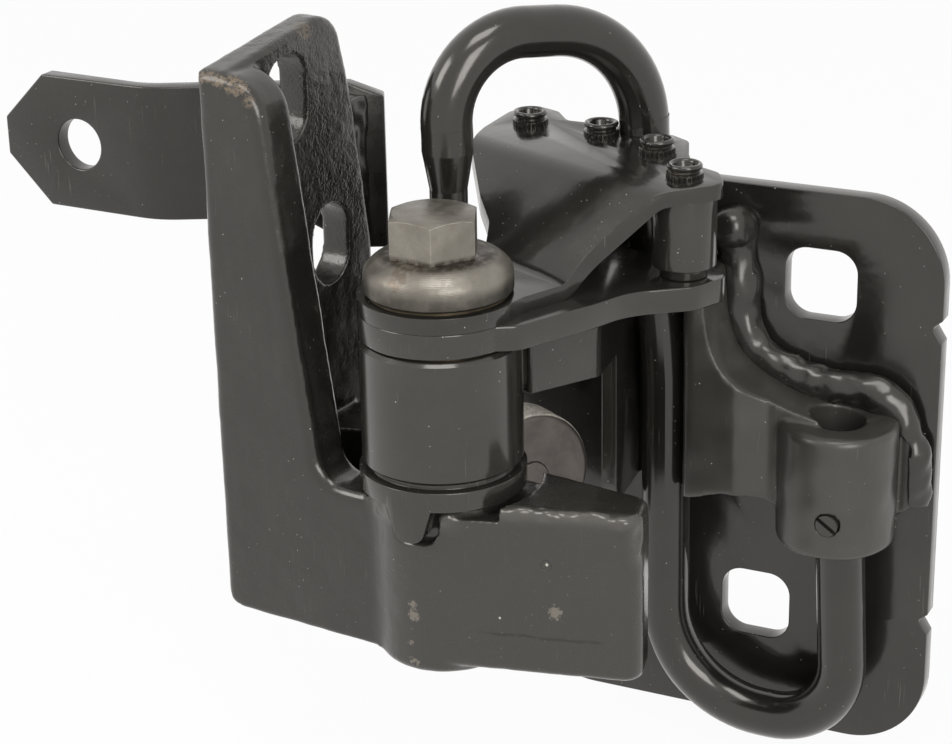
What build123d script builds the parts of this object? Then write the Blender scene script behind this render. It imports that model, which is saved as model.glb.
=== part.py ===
from build123d import *
import os
from math import atan2, cos, radians, sin, sqrt, tan

# Car door hinge with a built-in door check.
# A cast bracket bolts to the car's front door pillar. A swan-neck leaf cage, welded to a flat door
# plate, turns about one upright pin. A bent torsion rod on the door side presses a roller against
# a detent sleeve on the pin, so the door stays where it is put.
#
# Lengths are millimetres and angles are degrees. Every piece is drawn about the pin axis, with +Z
# up. Pillar pieces are drawn square to the mounting flange: X across it, Y along it. Door pieces
# are drawn square to the door plate, which is turned by DOOR_YAW about the pin at rest.
# The finished model is moved so that its origin lies on the flange's mounting face.

# Fits between pieces
RUNNING_FIT = 0.05
BODY_FIT = 0.03
FACE_GAP = 0.05
FREE_GAP = 0.3

# Pose of the door side in the photograph, about the pin
DOOR_YAW = 6.7

# Hinge pin
PIN_R = 6.0
PIN_TIP_CHAMFER = 1.0
HEX_ACROSS_FLATS = 17.0
HEX_H = 8.4
HEX_CHAMFER = 1.2
HEX_TURN = 0.0
HEX_OFF_CENTRE = 0.8
HEX_OFF_AZIMUTH = -147.0
COLLAR_R = 15.2
COLLAR_RIM_H = 3.4
COLLAR_DOME_H = 4.5
COLLAR_TOP_R = 9.8
COLLAR_SHOULDER_R = 14.2
COLLAR_SHOULDER_H = 2.3
COLLAR_TOP_SLOPE = 0.12
COLLAR_EDGE = 0.5

# Stack on the pin, from the boss upwards
BOSS_TOP_Z = -13.2
BOSS_R = 14.5
LUG_RING_T = 4.2
LUG_RING_R = 17.3
LUG_RING_NECK_H = 1.2
LUG_RING_NECK_R = 15.2
LUG_W = 11.0
LUG_TIP_W = 5.5
LUG_TIP_R = 2.6
LUG_DROP = 7.2
LUG_AZIMUTH = -82.5
LUG_INNER_R = 12.8
SLEEVE_H = 26.4
SLEEVE_R = 16.7
SLEEVE_CHAMFER = 0.8
DETENT_AZIMUTHS = (121.7, 82.7, 43.7)
DETENT_DEPTH = 1.5
WASHER_T = 0.65
WASHER_R = 14.6
LOWER_LEAF_T = 5.3
UPPER_LEAF_T = 3.4
EYE_R = 16.6
BUSH_WALL = 1.6
BUSH_FLANGE_T = 0.45
BUSH_FLANGE_R = 14.4

# Pillar bracket: fin, flange, boss and stop arm
BRACKET_BOTTOM_Z = -49.8
BOSS_BOTTOM_Z = -51.4
BOSS_TOP_ROUND = 2.4
BOSS_FOOT_ROUND = 2.0
RECESS_R = 20.5
RECESS_DROP = 2.3
LUG_NOTCH_GAP = 1.4
FLANGE_X = -50.5
FLANGE_T = 7.5
FIN_FRONT_Y = -11.35
FIN_T = 11.2
FIN_TOP_Z = 69.6
FIN_TOP_X = -35.3
FIN_WAIST_X = -23.8
FIN_WAIST_Z = -15.4
FIN_FOOT_X = -12.0
FIN_TOP_R = 10.0
FIN_WAIST_R = 6.0
FIN_EDGE_ROUND = 2.4
FIN_BOSS_FILLET = 9.0
CASTING_CORNER_R = 4.5
CASTING_EDGE_ROUND = 1.5
FLANGE_FAR_Y = 38.5
FLANGE_FOOT_Y = 24.0
FLANGE_FOOT_TOP_Z = -25.0
FLANGE_SHOULDER_Z = 20.0
FLANGE_NECK_Y = 33.4
FLANGE_NECK_Z = 52.6
FLANGE_TOP_Y = 27.8
FLANGE_TOP_Z = 75.3
SLOT_W = 13.3
UPPER_SLOT_H = 19.5
UPPER_SLOT_Y = 10.0
UPPER_SLOT_Z = 59.5
LOWER_SLOT_H = 18.0
LOWER_SLOT_Y = 23.0
LOWER_SLOT_Z = 24.0
FLOOR_T = 8.5
FLOOR_BACK_Y = 20.0
ARM_YAW = 19.5
ARM_REACH = 43.8
ARM_TOP_Z = -12.2
ARM_BOTTOM_Z = -49.4
ARM_ROOT_T = 29.0
ARM_NECK_S = 24.0
ARM_NECK_T = 19.0
ARM_TIP_T = 11.0
ARM_ROUND = 4.0
ARM_EDGE_ROUND = 1.8

# Stop disc on its stud
DISC_R = 15.0
DISC_T = 9.5
DISC_YAW = 65.2
DISC_X = 3.7
DISC_Y = 28.6
DISC_Z = -24.0
DISC_RIM_ROUND = 1.2
STUD_R = 4.4
STUD_HEAD_PROUD = 0.6
STUD_BLOCK_T = 9.0
STUD_BLOCK_H = 18.0

# Stay strap behind the flange
STRAP_T = 4.6
STRAP_H = 30.6
STRAP_TOP_Z = 55.0
STRAP_YAW = 33.0
STRAP_TIP_YAW = 5.0
STRAP_BEND_X = -85.7
STRAP_BEND_Y = 15.9
STRAP_BEND_R = 14.0
STRAP_TIP_LENGTH = 40.2
STRAP_STRAIGHT_LENGTH = 51.4
STRAP_TIP_CHAMFER = 11.0
STRAP_HOLE_R = 5.8
STRAP_HOLE_FROM_TIP = 20.0
STRAP_STUB_DROP = 7.4
STRAP_STUB_SLOPE = 12.0
STRAP_STUB_FROM_END = 7.5
STRAP_STUB_TOP_CUT = 3.0
STRAP_WELD_X = -49.4
STRAP_WELD_T = 3.6
STRAP_WELD_MARGIN = 2.5

# Door plate
PLATE_FRONT_Y = 68.1
PLATE_T = 4.5
PLATE_LEFT_X = -14.0
PLATE_RIGHT_X = 84.9
PLATE_TOP_Z = 35.5
PLATE_BOTTOM_Z = -94.0
PLATE_CORNER_R = 18.2
PLATE_HOLE = 16.2
PLATE_HOLE_ROUND = 5.0
UPPER_HOLE_X = 57.7
UPPER_HOLE_Z = 14.6
LOWER_HOLE_X = 44.5
LOWER_HOLE_Z = -64.8
NOTCH_W = 5.0
NOTCH_DEPTH = 2.2
NOTCH_ROOT_R = 0.8
NOTCH_ZS = (8.3, -61.4)

# Leaf cage
TOP_PLATE_TILT = 5.5
CAGE_AZIMUTH = 66.2
LEAF_STEP_START = 21.0
LEAF_STEP_END = 38.4
TOP_PLATE_Z = 45.0
RIVET_XYS = ((-7.3, 60.3), (11.2, 56.7), (27.0, 49.5), (38.1, 37.1))
RIVET_SHANK_R = 3.0
RIVET_HEAD_R = 3.7
RIVET_HEAD_H = 2.7
RIVET_CUP_R = 2.4
RIVET_CUP_DEPTH = 1.8
SPACER_RS = (6.75, 3.8, 0.0, 6.75)
SPACER_FOOT_R = 5.0
SPACER_FOOT_H = 2.4
LEAF_WELD_W = 22.0
LEAF_WELD_X = 0.4
RIVET_CLENCH_H = 1.6
WEB_T = 5.0
WEB_BOTTOM_Z = -1.0
LIP_T = 3.6
LIP_LEAN = 2.2
LIP_CORNER_R = 5.0
LIP_BOTTOM_Z = -37.0
LIP_X = 15.8
LIP_FRONT_Y = 49.5
LEAF_WELD_R = 3.2

# Torsion rod with its arch, hook and roller end
ROD_R = 5.4
ROD_Y = 57.2
ROD_HIGH_Y = 61.3
ROD_LOW_X = 26.8
ROD_MID_X = 26.5
ROD_MID_Z = -4.0
ROD_HIGH_X = 19.2
ROD_HIGH_Z = 46.5
ROD_HIGH_R = 50.0
ROD_MID_R = 80.0
ARCH_LEFT_OUT = 1.5
ARCH_LEFT_Z = 74.5
ARCH_LEFT_R = 16.7
ARCH_RIGHT_OUT = 0.2
ARCH_RIGHT_Z = 69.7
ARCH_RIGHT_R = 24.0
HOOK_BOTTOM_Z = -86.2
HOOK_LEFT_R = 24.0
HOOK_RIGHT_R = 16.0
HOOK_RIGHT_X = 69.8
ROD_END_X = 66.4
ROD_END_Z = -17.5
SPIGOT_R = 4.0
SPIGOT_TOP_Z = 50.0
SPIGOT_CONE_H = 8.0
SPIGOT_LEAN_Z = 54.0
SPIGOT_LEAN_R = 40.0
SPIGOT_END_Z = -7.6
ROLLER_R = 7.0
ROLLER_TOP_Z = 16.0
ROLLER_BOTTOM_Z = -4.4
ROLLER_CROWN = 0.8
ROLLER_BUSH_WALL = 1.0
ROLLER_AZIMUTH = 111.0
CLIP_R = 5.6
CLIP_T = 1.0
CLIP_GROOVE_DEPTH = 0.8

# Console with the knuckle
CONSOLE_LEFT_X = 33.0
CONSOLE_RIGHT_X = 81.6
CONSOLE_FRONT_Y = 48.3
CONSOLE_FRONT_X = 46.0
CONSOLE_FRONT_R = 3.0
CONSOLE_VALLEY_X = 52.0
CONSOLE_VALLEY_Y = 51.5
CONSOLE_VALLEY_R = 5.0
CONSOLE_RIB_X = 76.9
CONSOLE_RIB_Y = 63.6
CONSOLE_RIB_R = 2.0
CONSOLE_BOTTOM_Z = -32.6
CONSOLE_ARCH_Z = -29.4
CONSOLE_CREST_ROUND = 1.2
KNUCKLE_X = 66.2
KNUCKLE_R = 13.0
KNUCKLE_TOP_Z = -11.0
KNUCKLE_BOTTOM_Z = -39.0
KNUCKLE_BORE_R = 5.9
KNUCKLE_ROUND = 1.6
CROSS_PIN_R = 2.4
CROSS_PIN_Z = -30.5
CROSS_PIN_OFF = 2.2
CROSS_PIN_PROUD = 0.3
CROSS_PIN_SLOT_W = 0.9
CROSS_PIN_SLOT_DEPTH = 1.2
CONSOLE_WELD_R = 4.3
CONSOLE_WELD_START_R = 4.9
CONSOLE_WELD_XZS = (
    (38.4, 25.0),
    (39.4, 15.0),
    (41.4, 5.6),
    (47.4, -0.9),
    (56.0, -3.6),
    (66.0, -4.8),
    (74.6, -6.8),
    (79.2, -14.0),
    (80.2, -30.5),
)

# Heights of the stack that follow from the sizes above
RING_TOP_Z = BOSS_TOP_Z + LUG_RING_T
SLEEVE_BOTTOM_Z = RING_TOP_Z + LUG_RING_NECK_H
SLEEVE_TOP_Z = SLEEVE_BOTTOM_Z + SLEEVE_H
LEAF_BOTTOM_Z = SLEEVE_TOP_Z + WASHER_T + FACE_GAP
LEAF_SEAM_Z = LEAF_BOTTOM_Z + LOWER_LEAF_T
LEAF_TOP_Z = LEAF_SEAM_Z + UPPER_LEAF_T
COLLAR_BOTTOM_Z = LEAF_TOP_Z + BUSH_FLANGE_T + FACE_GAP
COLLAR_TOP_Z = COLLAR_BOTTOM_Z + COLLAR_RIM_H + COLLAR_DOME_H
HEX_TOP_Z = COLLAR_TOP_Z + HEX_H
BUSH_R = PIN_R + RUNNING_FIT + BUSH_WALL
FLANGE_INNER_X = FLANGE_X + FLANGE_T
FIN_BACK_Y = FIN_FRONT_Y + FIN_T
SLOT_MIDDLE_Y = (UPPER_SLOT_Y + LOWER_SLOT_Y) / 2
SLOT_MIDDLE_Z = (UPPER_SLOT_Z + LOWER_SLOT_Z) / 2

# The knuckle stands in the rod's plane, so the rod's end rises straight into it
KNUCKLE_Y = ROD_Y

# The roller runs on the sleeve, so its distance from the pin follows from both radii
ROLLER_REACH = SLEEVE_R + ROLLER_R + FREE_GAP
ROLLER_X = ROLLER_REACH * cos(radians(ROLLER_AZIMUTH))
ROLLER_Y = ROLLER_REACH * sin(radians(ROLLER_AZIMUTH))


def rounded_face(points, radii=0.0):
    """A flat face with straight sides; radii is one radius or one for each corner."""
    return make_face(FilletPolyline(*points, radius=radii, close=True))


def slab(points, z_low, z_high, radii=0.0):
    """A flat outline in plan, extruded between two heights."""
    return Pos(0, 0, z_low) * extrude(rounded_face(points, radii), z_high - z_low)


def upright(points, y_front, thickness, radii=0.0):
    """An outline given as (x, z), extruded from y_front towards +Y."""
    face = Plane((0, y_front, 0), x_dir=(1, 0, 0), z_dir=(0, -1, 0)) * rounded_face(points, radii)
    return extrude(face, -thickness)


def side_outline(points, x_left, thickness, radii=0.0):
    """An outline given as (y, z), extruded from x_left towards +X."""
    face = Plane((x_left, 0, 0), x_dir=(0, 1, 0), z_dir=(1, 0, 0)) * rounded_face(points, radii)
    return extrude(face, thickness)


def disc(radius, z_low, z_high, x=0.0, y=0.0):
    """An upright cylinder between two heights."""
    return Pos(x, y, (z_low + z_high) / 2) * Cylinder(radius, z_high - z_low)


def turned(profile):
    """A profile of (radius, height) points turned about the pin axis."""
    return revolve(make_face(Plane.XZ * Polyline(*profile, close=True)), Axis.Z)


def solid_of(shape):
    """The largest solid of a result, as a clean part."""
    return max(shape.solids(), key=lambda s: s.volume)


# Hinge pin
def make_hinge_pin():
    tip_z = BOSS_BOTTOM_Z + PIN_TIP_CHAMFER
    rim_z = COLLAR_BOTTOM_Z + COLLAR_RIM_H
    shank = turned([
        (0, tip_z),
        (PIN_R - PIN_TIP_CHAMFER, tip_z),
        (PIN_R, tip_z + PIN_TIP_CHAMFER),
        (PIN_R, COLLAR_BOTTOM_Z),
        (COLLAR_R - COLLAR_EDGE, COLLAR_BOTTOM_Z),
        (COLLAR_R, COLLAR_BOTTOM_Z + COLLAR_EDGE),
        (COLLAR_R, rim_z),
        (0, rim_z),
    ])
    shoulder = Spline(
        (COLLAR_R, rim_z),
        (COLLAR_SHOULDER_R, rim_z + COLLAR_SHOULDER_H),
        (COLLAR_TOP_R, COLLAR_TOP_Z),
        tangents=[(0, 1), (-1, COLLAR_TOP_SLOPE)],
    )
    outline = shoulder + Polyline((COLLAR_TOP_R, COLLAR_TOP_Z), (0, COLLAR_TOP_Z), (0, rim_z), (COLLAR_R, rim_z))
    dome = revolve(Plane.XZ * make_face(outline), Axis.Z)
    hexagon = RegularPolygon(HEX_ACROSS_FLATS / 2, 6, major_radius=False, rotation=HEX_TURN)
    sunk = COLLAR_DOME_H / 2
    head = Pos(0, 0, COLLAR_TOP_Z - sunk) * extrude(hexagon, HEX_H + sunk)
    corner_r = HEX_ACROSS_FLATS / 2 / cos(radians(30))
    crown = turned([
        (0, COLLAR_TOP_Z - sunk),
        (corner_r + 1, COLLAR_TOP_Z - sunk),
        (corner_r + 1, HEX_TOP_Z - HEX_CHAMFER),
        (HEX_ACROSS_FLATS / 2 - 0.4, HEX_TOP_Z),
        (0, HEX_TOP_Z),
    ])
    off_x = HEX_OFF_CENTRE * cos(radians(HEX_OFF_AZIMUTH))
    off_y = HEX_OFF_CENTRE * sin(radians(HEX_OFF_AZIMUTH))
    return shank + dome + Pos(off_x, off_y, 0) * (head & crown)


# Lug ring, keyed into the casting's notch
def lug_solid(extra):
    outer = LUG_RING_R + extra
    half = LUG_W / 2 + extra
    tip_half = LUG_TIP_W / 2 + extra
    inner = LUG_INNER_R - extra
    tongue = [
        (-half, BOSS_TOP_Z + LUG_RING_T / 2),
        (-tip_half, BOSS_TOP_Z - LUG_DROP - extra),
        (tip_half, BOSS_TOP_Z - LUG_DROP - extra),
        (half, BOSS_TOP_Z + LUG_RING_T / 2),
    ]
    blank = side_outline(tongue, inner, outer, [0, LUG_TIP_R, LUG_TIP_R, 0])
    lug = blank & disc(outer, BOSS_TOP_Z - 2 * LUG_DROP, BOSS_TOP_Z + LUG_RING_T)
    return Rot(0, 0, LUG_AZIMUTH) * lug


def make_lug_ring():
    ring = disc(LUG_RING_R, BOSS_TOP_Z, RING_TOP_Z)
    neck = disc(LUG_RING_NECK_R, RING_TOP_Z, SLEEVE_BOTTOM_Z)
    bore = disc(PIN_R + BODY_FIT, BOSS_TOP_Z - 1, SLEEVE_BOTTOM_Z + 1)
    return ring + lug_solid(0) + neck - bore


# Cam sleeve with the three detent grooves of the door check
def make_cam_sleeve():
    sleeve = disc(SLEEVE_R, SLEEVE_BOTTOM_Z, SLEEVE_TOP_Z)
    rims = sleeve.edges().filter_by(GeomType.CIRCLE)
    sleeve = chamfer(rims, SLEEVE_CHAMFER)
    sleeve -= disc(PIN_R + BODY_FIT, SLEEVE_BOTTOM_Z - 1, SLEEVE_TOP_Z + 1)
    groove_r = ROLLER_R + FREE_GAP
    reach = SLEEVE_R - DETENT_DEPTH + groove_r
    for azimuth in DETENT_AZIMUTHS:
        groove = disc(groove_r, SLEEVE_BOTTOM_Z - 1, SLEEVE_TOP_Z + 1, reach, 0)
        sleeve -= Rot(0, 0, azimuth) * groove
    return sleeve


def make_thrust_washer():
    washer = disc(WASHER_R, SLEEVE_TOP_Z, SLEEVE_TOP_Z + WASHER_T)
    return washer - disc(PIN_R + BODY_FIT, SLEEVE_TOP_Z - 1, SLEEVE_TOP_Z + WASHER_T + 1)


# Pillar bracket
def make_fin():
    points = [
        (FLANGE_X, BRACKET_BOTTOM_Z),
        (FIN_FOOT_X, BRACKET_BOTTOM_Z),
        (FIN_FOOT_X, FIN_WAIST_Z),
        (FIN_WAIST_X, FIN_WAIST_Z),
        (FIN_TOP_X, FIN_TOP_Z),
        (FLANGE_X, FIN_TOP_Z),
    ]
    fin = upright(points, FIN_FRONT_Y, FIN_T, [0, 0, 0, FIN_WAIST_R, FIN_TOP_R, 0])
    slanted = [e for e in fin.edges() if is_fin_free_edge(e)]
    return fillet(slanted, FIN_EDGE_ROUND)


def is_fin_free_edge(edge):
    """True for the edges round the fin's ledge, slanted side, top corner and top."""
    middle = edge.center()
    in_face = abs(middle.Y - FIN_FRONT_Y) < 0.01 or abs(middle.Y - FIN_BACK_Y) < 0.01
    return in_face and middle.X > FLANGE_X + 1 and middle.Z > FIN_WAIST_Z - 1


def make_flange():
    points = [
        (FIN_FRONT_Y, BRACKET_BOTTOM_Z),
        (FLANGE_FOOT_Y, BRACKET_BOTTOM_Z),
        (FLANGE_FAR_Y, FLANGE_FOOT_TOP_Z),
        (FLANGE_FAR_Y, FLANGE_SHOULDER_Z),
        (FLANGE_NECK_Y, FLANGE_NECK_Z),
        (FLANGE_TOP_Y, FLANGE_TOP_Z),
        (FIN_FRONT_Y, FIN_TOP_Z),
    ]
    flange = side_outline(points, FLANGE_X, FLANGE_T, [0, 8.0, 12.0, 12.0, 14.0, 8.0, 3.0])
    rim = [e for e in flange.edges() if is_flange_rim(e)]
    flange = fillet(rim, CASTING_EDGE_ROUND)
    for y, z, height in (
        (UPPER_SLOT_Y, UPPER_SLOT_Z, UPPER_SLOT_H),
        (LOWER_SLOT_Y, LOWER_SLOT_Z, LOWER_SLOT_H),
    ):
        plane = Plane((FLANGE_X - 1, y, z), x_dir=(0, 1, 0), z_dir=(1, 0, 0))
        slot = plane * (Rot(0, 0, 90) * SlotOverall(height, SLOT_W))
        flange -= extrude(slot, FLANGE_T + 2)
    return flange


def is_flange_rim(edge):
    """True for the edges of both flange faces, apart from those under the fin and at the foot."""
    middle = edge.center()
    in_face = abs(middle.X - FLANGE_X) < 0.01 or abs(middle.X - FLANGE_INNER_X) < 0.01
    return in_face and middle.Y > FIN_FRONT_Y + 1 and middle.Z > BRACKET_BOTTOM_Z + 1


def arm_outline():
    front = BOSS_R
    return [
        (0, -front),
        (ARM_REACH, -front),
        (ARM_REACH, ARM_TIP_T - front),
        (ARM_NECK_S, ARM_NECK_T - front),
        (0, ARM_ROOT_T - front),
    ]


def make_arm():
    arm = slab(arm_outline(), ARM_BOTTOM_Z, ARM_TOP_Z, [0, ARM_ROUND, ARM_ROUND, 12.0, 0])
    rim = [e for e in arm.edges() if is_arm_rim(e)]
    return Rot(0, 0, ARM_YAW) * fillet(rim, ARM_EDGE_ROUND)


def is_arm_rim(edge):
    middle = edge.center()
    at_rim = abs(middle.Z - ARM_TOP_Z) < 0.01 or abs(middle.Z - ARM_BOTTOM_Z) < 0.01
    return at_rim and middle.X > 1


def make_fin_root():
    """The concave blend, in plan, that carries the fin's front face round into the boss."""
    reach = BOSS_R + FIN_BOSS_FILLET
    drop = -FIN_FRONT_Y + FIN_BOSS_FILLET
    centre_x = -sqrt(reach ** 2 - drop ** 2)
    touch = BOSS_R / reach
    points = [
        (centre_x, FIN_FRONT_Y),
        (centre_x, FIN_FRONT_Y + 2),
        (centre_x * touch, -drop * touch + 2),
        (centre_x * touch, -drop * touch),
    ]
    blend = slab(points, BRACKET_BOTTOM_Z, FIN_WAIST_Z, 0)
    return blend - disc(FIN_BOSS_FILLET, BRACKET_BOTTOM_Z - 1, FIN_WAIST_Z + 1, centre_x, -drop)


def make_floor():
    top = BRACKET_BOTTOM_Z + FLOOR_T
    points = [
        (FLANGE_X + 1, FIN_FRONT_Y + 1),
        (0, FIN_FRONT_Y + 1),
        (BOSS_R * 0.7, 0),
        (BOSS_R * 0.55, BOSS_R * 0.8),
        (FLANGE_INNER_X + 6, FLOOR_BACK_Y),
        (FLANGE_X + 1, FLOOR_BACK_Y),
    ]
    return slab(points, BRACKET_BOTTOM_Z, top, [0, 0, 0, 0, 5.0, 0])


def disc_frame(shift=0.0):
    """The disc's own frame: its Z axis points out of the disc's front face."""
    yaw = radians(DISC_YAW)
    out = (sin(yaw), -cos(yaw), 0)
    origin = (DISC_X + shift * out[0], DISC_Y + shift * out[1], DISC_Z)
    return Plane(origin, x_dir=(cos(yaw), sin(yaw), 0), z_dir=out)


def make_disc_seat():
    """The casting's upright block behind the disc, which carries its stud."""
    yaw = radians(DISC_YAW)
    back_x = DISC_X - (DISC_T + BODY_FIT) * sin(yaw)
    back_y = DISC_Y + (DISC_T + BODY_FIT) * cos(yaw)
    along = (cos(yaw), sin(yaw))
    half = STUD_BLOCK_H / 2
    inner = (back_x - half * along[0], back_y - half * along[1])
    outer = (back_x + half * along[0], back_y + half * along[1])
    wall = [
        inner,
        outer,
        (outer[0] - STUD_BLOCK_T * sin(yaw), outer[1] + STUD_BLOCK_T * cos(yaw)),
        (FLANGE_X + 2, FLANGE_FOOT_Y + 2),
        (FLANGE_X + 2, FLANGE_FOOT_Y - 14),
    ]
    top = DISC_Z + half
    return slab(wall, BRACKET_BOTTOM_Z, top, 0)


def casting_envelope():
    """Rounds the long lower edge and the front edge of the casting on its mounting side."""
    reach = -FLANGE_X + ARM_REACH + BOSS_R
    from_front = slab([
        (FLANGE_X, FIN_FRONT_Y - BOSS_R),
        (FLANGE_X + reach, FIN_FRONT_Y - BOSS_R),
        (FLANGE_X + reach, FLANGE_FAR_Y + BOSS_R),
        (FLANGE_X, FLANGE_FAR_Y + BOSS_R),
    ], BOSS_BOTTOM_Z - 1, FLANGE_TOP_Z + 1)
    corner = upright([
        (FLANGE_X, BRACKET_BOTTOM_Z),
        (FLANGE_X + CASTING_CORNER_R, BRACKET_BOTTOM_Z),
        (FLANGE_X, BRACKET_BOTTOM_Z + CASTING_CORNER_R),
    ], FIN_FRONT_Y - 1, FLANGE_FAR_Y - FIN_FRONT_Y + 2)
    round_bar = Cylinder(CASTING_CORNER_R, 2 * reach, rotation=(90, 0, 0))
    corner -= Pos(FLANGE_X + CASTING_CORNER_R, 0, BRACKET_BOTTOM_Z + CASTING_CORNER_R) * round_bar
    edge_r = FIN_EDGE_ROUND
    edge = slab([
        (FLANGE_X, FIN_FRONT_Y),
        (FLANGE_X + edge_r, FIN_FRONT_Y),
        (FLANGE_X, FIN_FRONT_Y + edge_r),
    ], BRACKET_BOTTOM_Z - 1, FLANGE_TOP_Z)
    edge -= disc(edge_r, BRACKET_BOTTOM_Z - 2, FLANGE_TOP_Z + 1, FLANGE_X + edge_r, FIN_FRONT_Y + edge_r)
    return from_front - corner - edge


def make_pillar_bracket():
    boss = disc(BOSS_R, BOSS_BOTTOM_Z, BOSS_TOP_Z)
    boss_rims = boss.edges().filter_by(GeomType.CIRCLE).sort_by(Axis.Z)
    boss = fillet(boss_rims[0], BOSS_FOOT_ROUND)
    boss = fillet(boss.edges().filter_by(GeomType.CIRCLE).sort_by(Axis.Z)[-1], BOSS_TOP_ROUND)
    casting = make_flange() + make_fin() + make_floor() + make_fin_root() + boss
    casting = casting + make_arm() + make_disc_seat()
    casting = casting & casting_envelope()
    casting -= disc(PIN_R + BODY_FIT, BOSS_BOTTOM_Z - 1, BOSS_TOP_Z + 2)
    casting -= disc(RECESS_R, BOSS_TOP_Z - RECESS_DROP, BOSS_TOP_Z + RECESS_R) - boss
    casting -= lug_solid(LUG_NOTCH_GAP)
    stud_hole = disc_frame(1) * Cylinder(STUD_R + BODY_FIT, 60)
    casting -= stud_hole
    return solid_of(casting)


# Stop disc and its stud
def make_stop_disc():
    body = Cylinder(DISC_R, DISC_T)
    body = fillet(body.edges().filter_by(GeomType.CIRCLE), DISC_RIM_ROUND)
    body -= Cylinder(STUD_R + BODY_FIT, DISC_T + 2)
    return disc_frame(-DISC_T / 2) * body


def make_stop_disc_stud():
    length = DISC_T + STUD_BLOCK_T + STUD_HEAD_PROUD
    stud = Cylinder(STUD_R, length)
    stud = fillet(stud.edges().filter_by(GeomType.CIRCLE).sort_by(Axis.Z)[-1], 0.5)
    return disc_frame(STUD_HEAD_PROUD - length / 2) * stud


# Stay strap
def strap_direction(yaw):
    return (cos(radians(yaw)), sin(radians(yaw)))


def make_stay_strap():
    along = strap_direction(STRAP_YAW)
    tip = strap_direction(STRAP_TIP_YAW)
    bend = (STRAP_BEND_X, STRAP_BEND_Y)
    far = (bend[0] + STRAP_STRAIGHT_LENGTH * along[0], bend[1] + STRAP_STRAIGHT_LENGTH * along[1])
    near = (bend[0] - STRAP_TIP_LENGTH * tip[0], bend[1] - STRAP_TIP_LENGTH * tip[1])
    turn = radians(STRAP_YAW - STRAP_TIP_YAW)
    back_shift = STRAP_T * tan(turn / 2)
    normal_far = (-along[1] * STRAP_T, along[0] * STRAP_T)
    normal_near = (-tip[1] * STRAP_T, tip[0] * STRAP_T)
    back_bend = (
        bend[0] + normal_far[0] - back_shift * along[0],
        bend[1] + normal_far[1] - back_shift * along[1],
    )
    points = [
        near,
        bend,
        far,
        (far[0] + normal_far[0], far[1] + normal_far[1]),
        back_bend,
        (near[0] + normal_near[0], near[1] + normal_near[1]),
    ]
    radii = [0, STRAP_BEND_R + STRAP_T, 0, 0, STRAP_BEND_R, 0]
    bottom = STRAP_TOP_Z - STRAP_H
    strap = slab(points, bottom - STRAP_STUB_DROP, STRAP_TOP_Z, radii) - strap_trim(bottom)
    middle_z = STRAP_TOP_Z - STRAP_H / 2
    tip_plane = Plane((near[0], near[1], middle_z), x_dir=(tip[0], tip[1], 0), z_dir=(tip[1], -tip[0], 0))
    half = STRAP_H / 2
    cut = STRAP_TIP_CHAMFER
    for side in (1, -1):
        wedge = [(-1, side * (half - cut)), (0, side * (half - cut)), (cut, side * half),
                 (cut, side * (half + 1)), (-1, side * (half + 1))]
        strap -= extrude(tip_plane * rounded_face(wedge), 3 * STRAP_T, both=True)
    hole = Pos(STRAP_HOLE_FROM_TIP, 0, 0) * Circle(STRAP_HOLE_R)
    strap -= extrude(tip_plane * hole, 3 * STRAP_T, both=True)
    return strap


def strap_trim(bottom):
    """What is cut off the strap: all below its lower edge, which drops at the stub, and one corner."""
    along = strap_direction(STRAP_YAW)
    side = Plane((STRAP_BEND_X, STRAP_BEND_Y, 0), x_dir=(along[0], along[1], 0), z_dir=(along[1], -along[0], 0))
    stub = STRAP_STRAIGHT_LENGTH - STRAP_STUB_FROM_END
    deep = bottom - STRAP_STUB_DROP
    below = [
        (-2 * STRAP_TIP_LENGTH, bottom),
        (stub - STRAP_STUB_SLOPE, bottom),
        (stub, deep),
        (stub, deep - 1),
        (-2 * STRAP_TIP_LENGTH, deep - 1),
    ]
    above = [
        (stub, STRAP_TOP_Z),
        (STRAP_STRAIGHT_LENGTH, STRAP_TOP_Z - STRAP_STUB_TOP_CUT),
        (STRAP_STRAIGHT_LENGTH + 1, STRAP_TOP_Z - STRAP_STUB_TOP_CUT),
        (STRAP_STRAIGHT_LENGTH + 1, STRAP_TOP_Z + 1),
        (stub, STRAP_TOP_Z + 1),
    ]
    cut_low = extrude(side * rounded_face(below), STRAP_TIP_LENGTH, both=True)
    cut_high = extrude(side * rounded_face(above), STRAP_TIP_LENGTH, both=True)
    return cut_low + cut_high


def make_strap_weld(strap, bracket):
    """The weld that fills the wedge between the flange's far edge and the strap's front face."""
    low = STRAP_TOP_Z - STRAP_H + STRAP_WELD_MARGIN
    high = STRAP_TOP_Z - STRAP_WELD_MARGIN
    front_y = STRAP_BEND_Y + (STRAP_WELD_X - STRAP_BEND_X) * tan(radians(STRAP_YAW))
    wedge = side_outline([
        (FLANGE_NECK_Y - 4, low),
        (front_y + STRAP_T / 2, low),
        (front_y + STRAP_T / 2, high),
        (FLANGE_NECK_Y - 4, high),
    ], STRAP_WELD_X, STRAP_WELD_T)
    return solid_of(wedge - strap - bracket)


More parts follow.
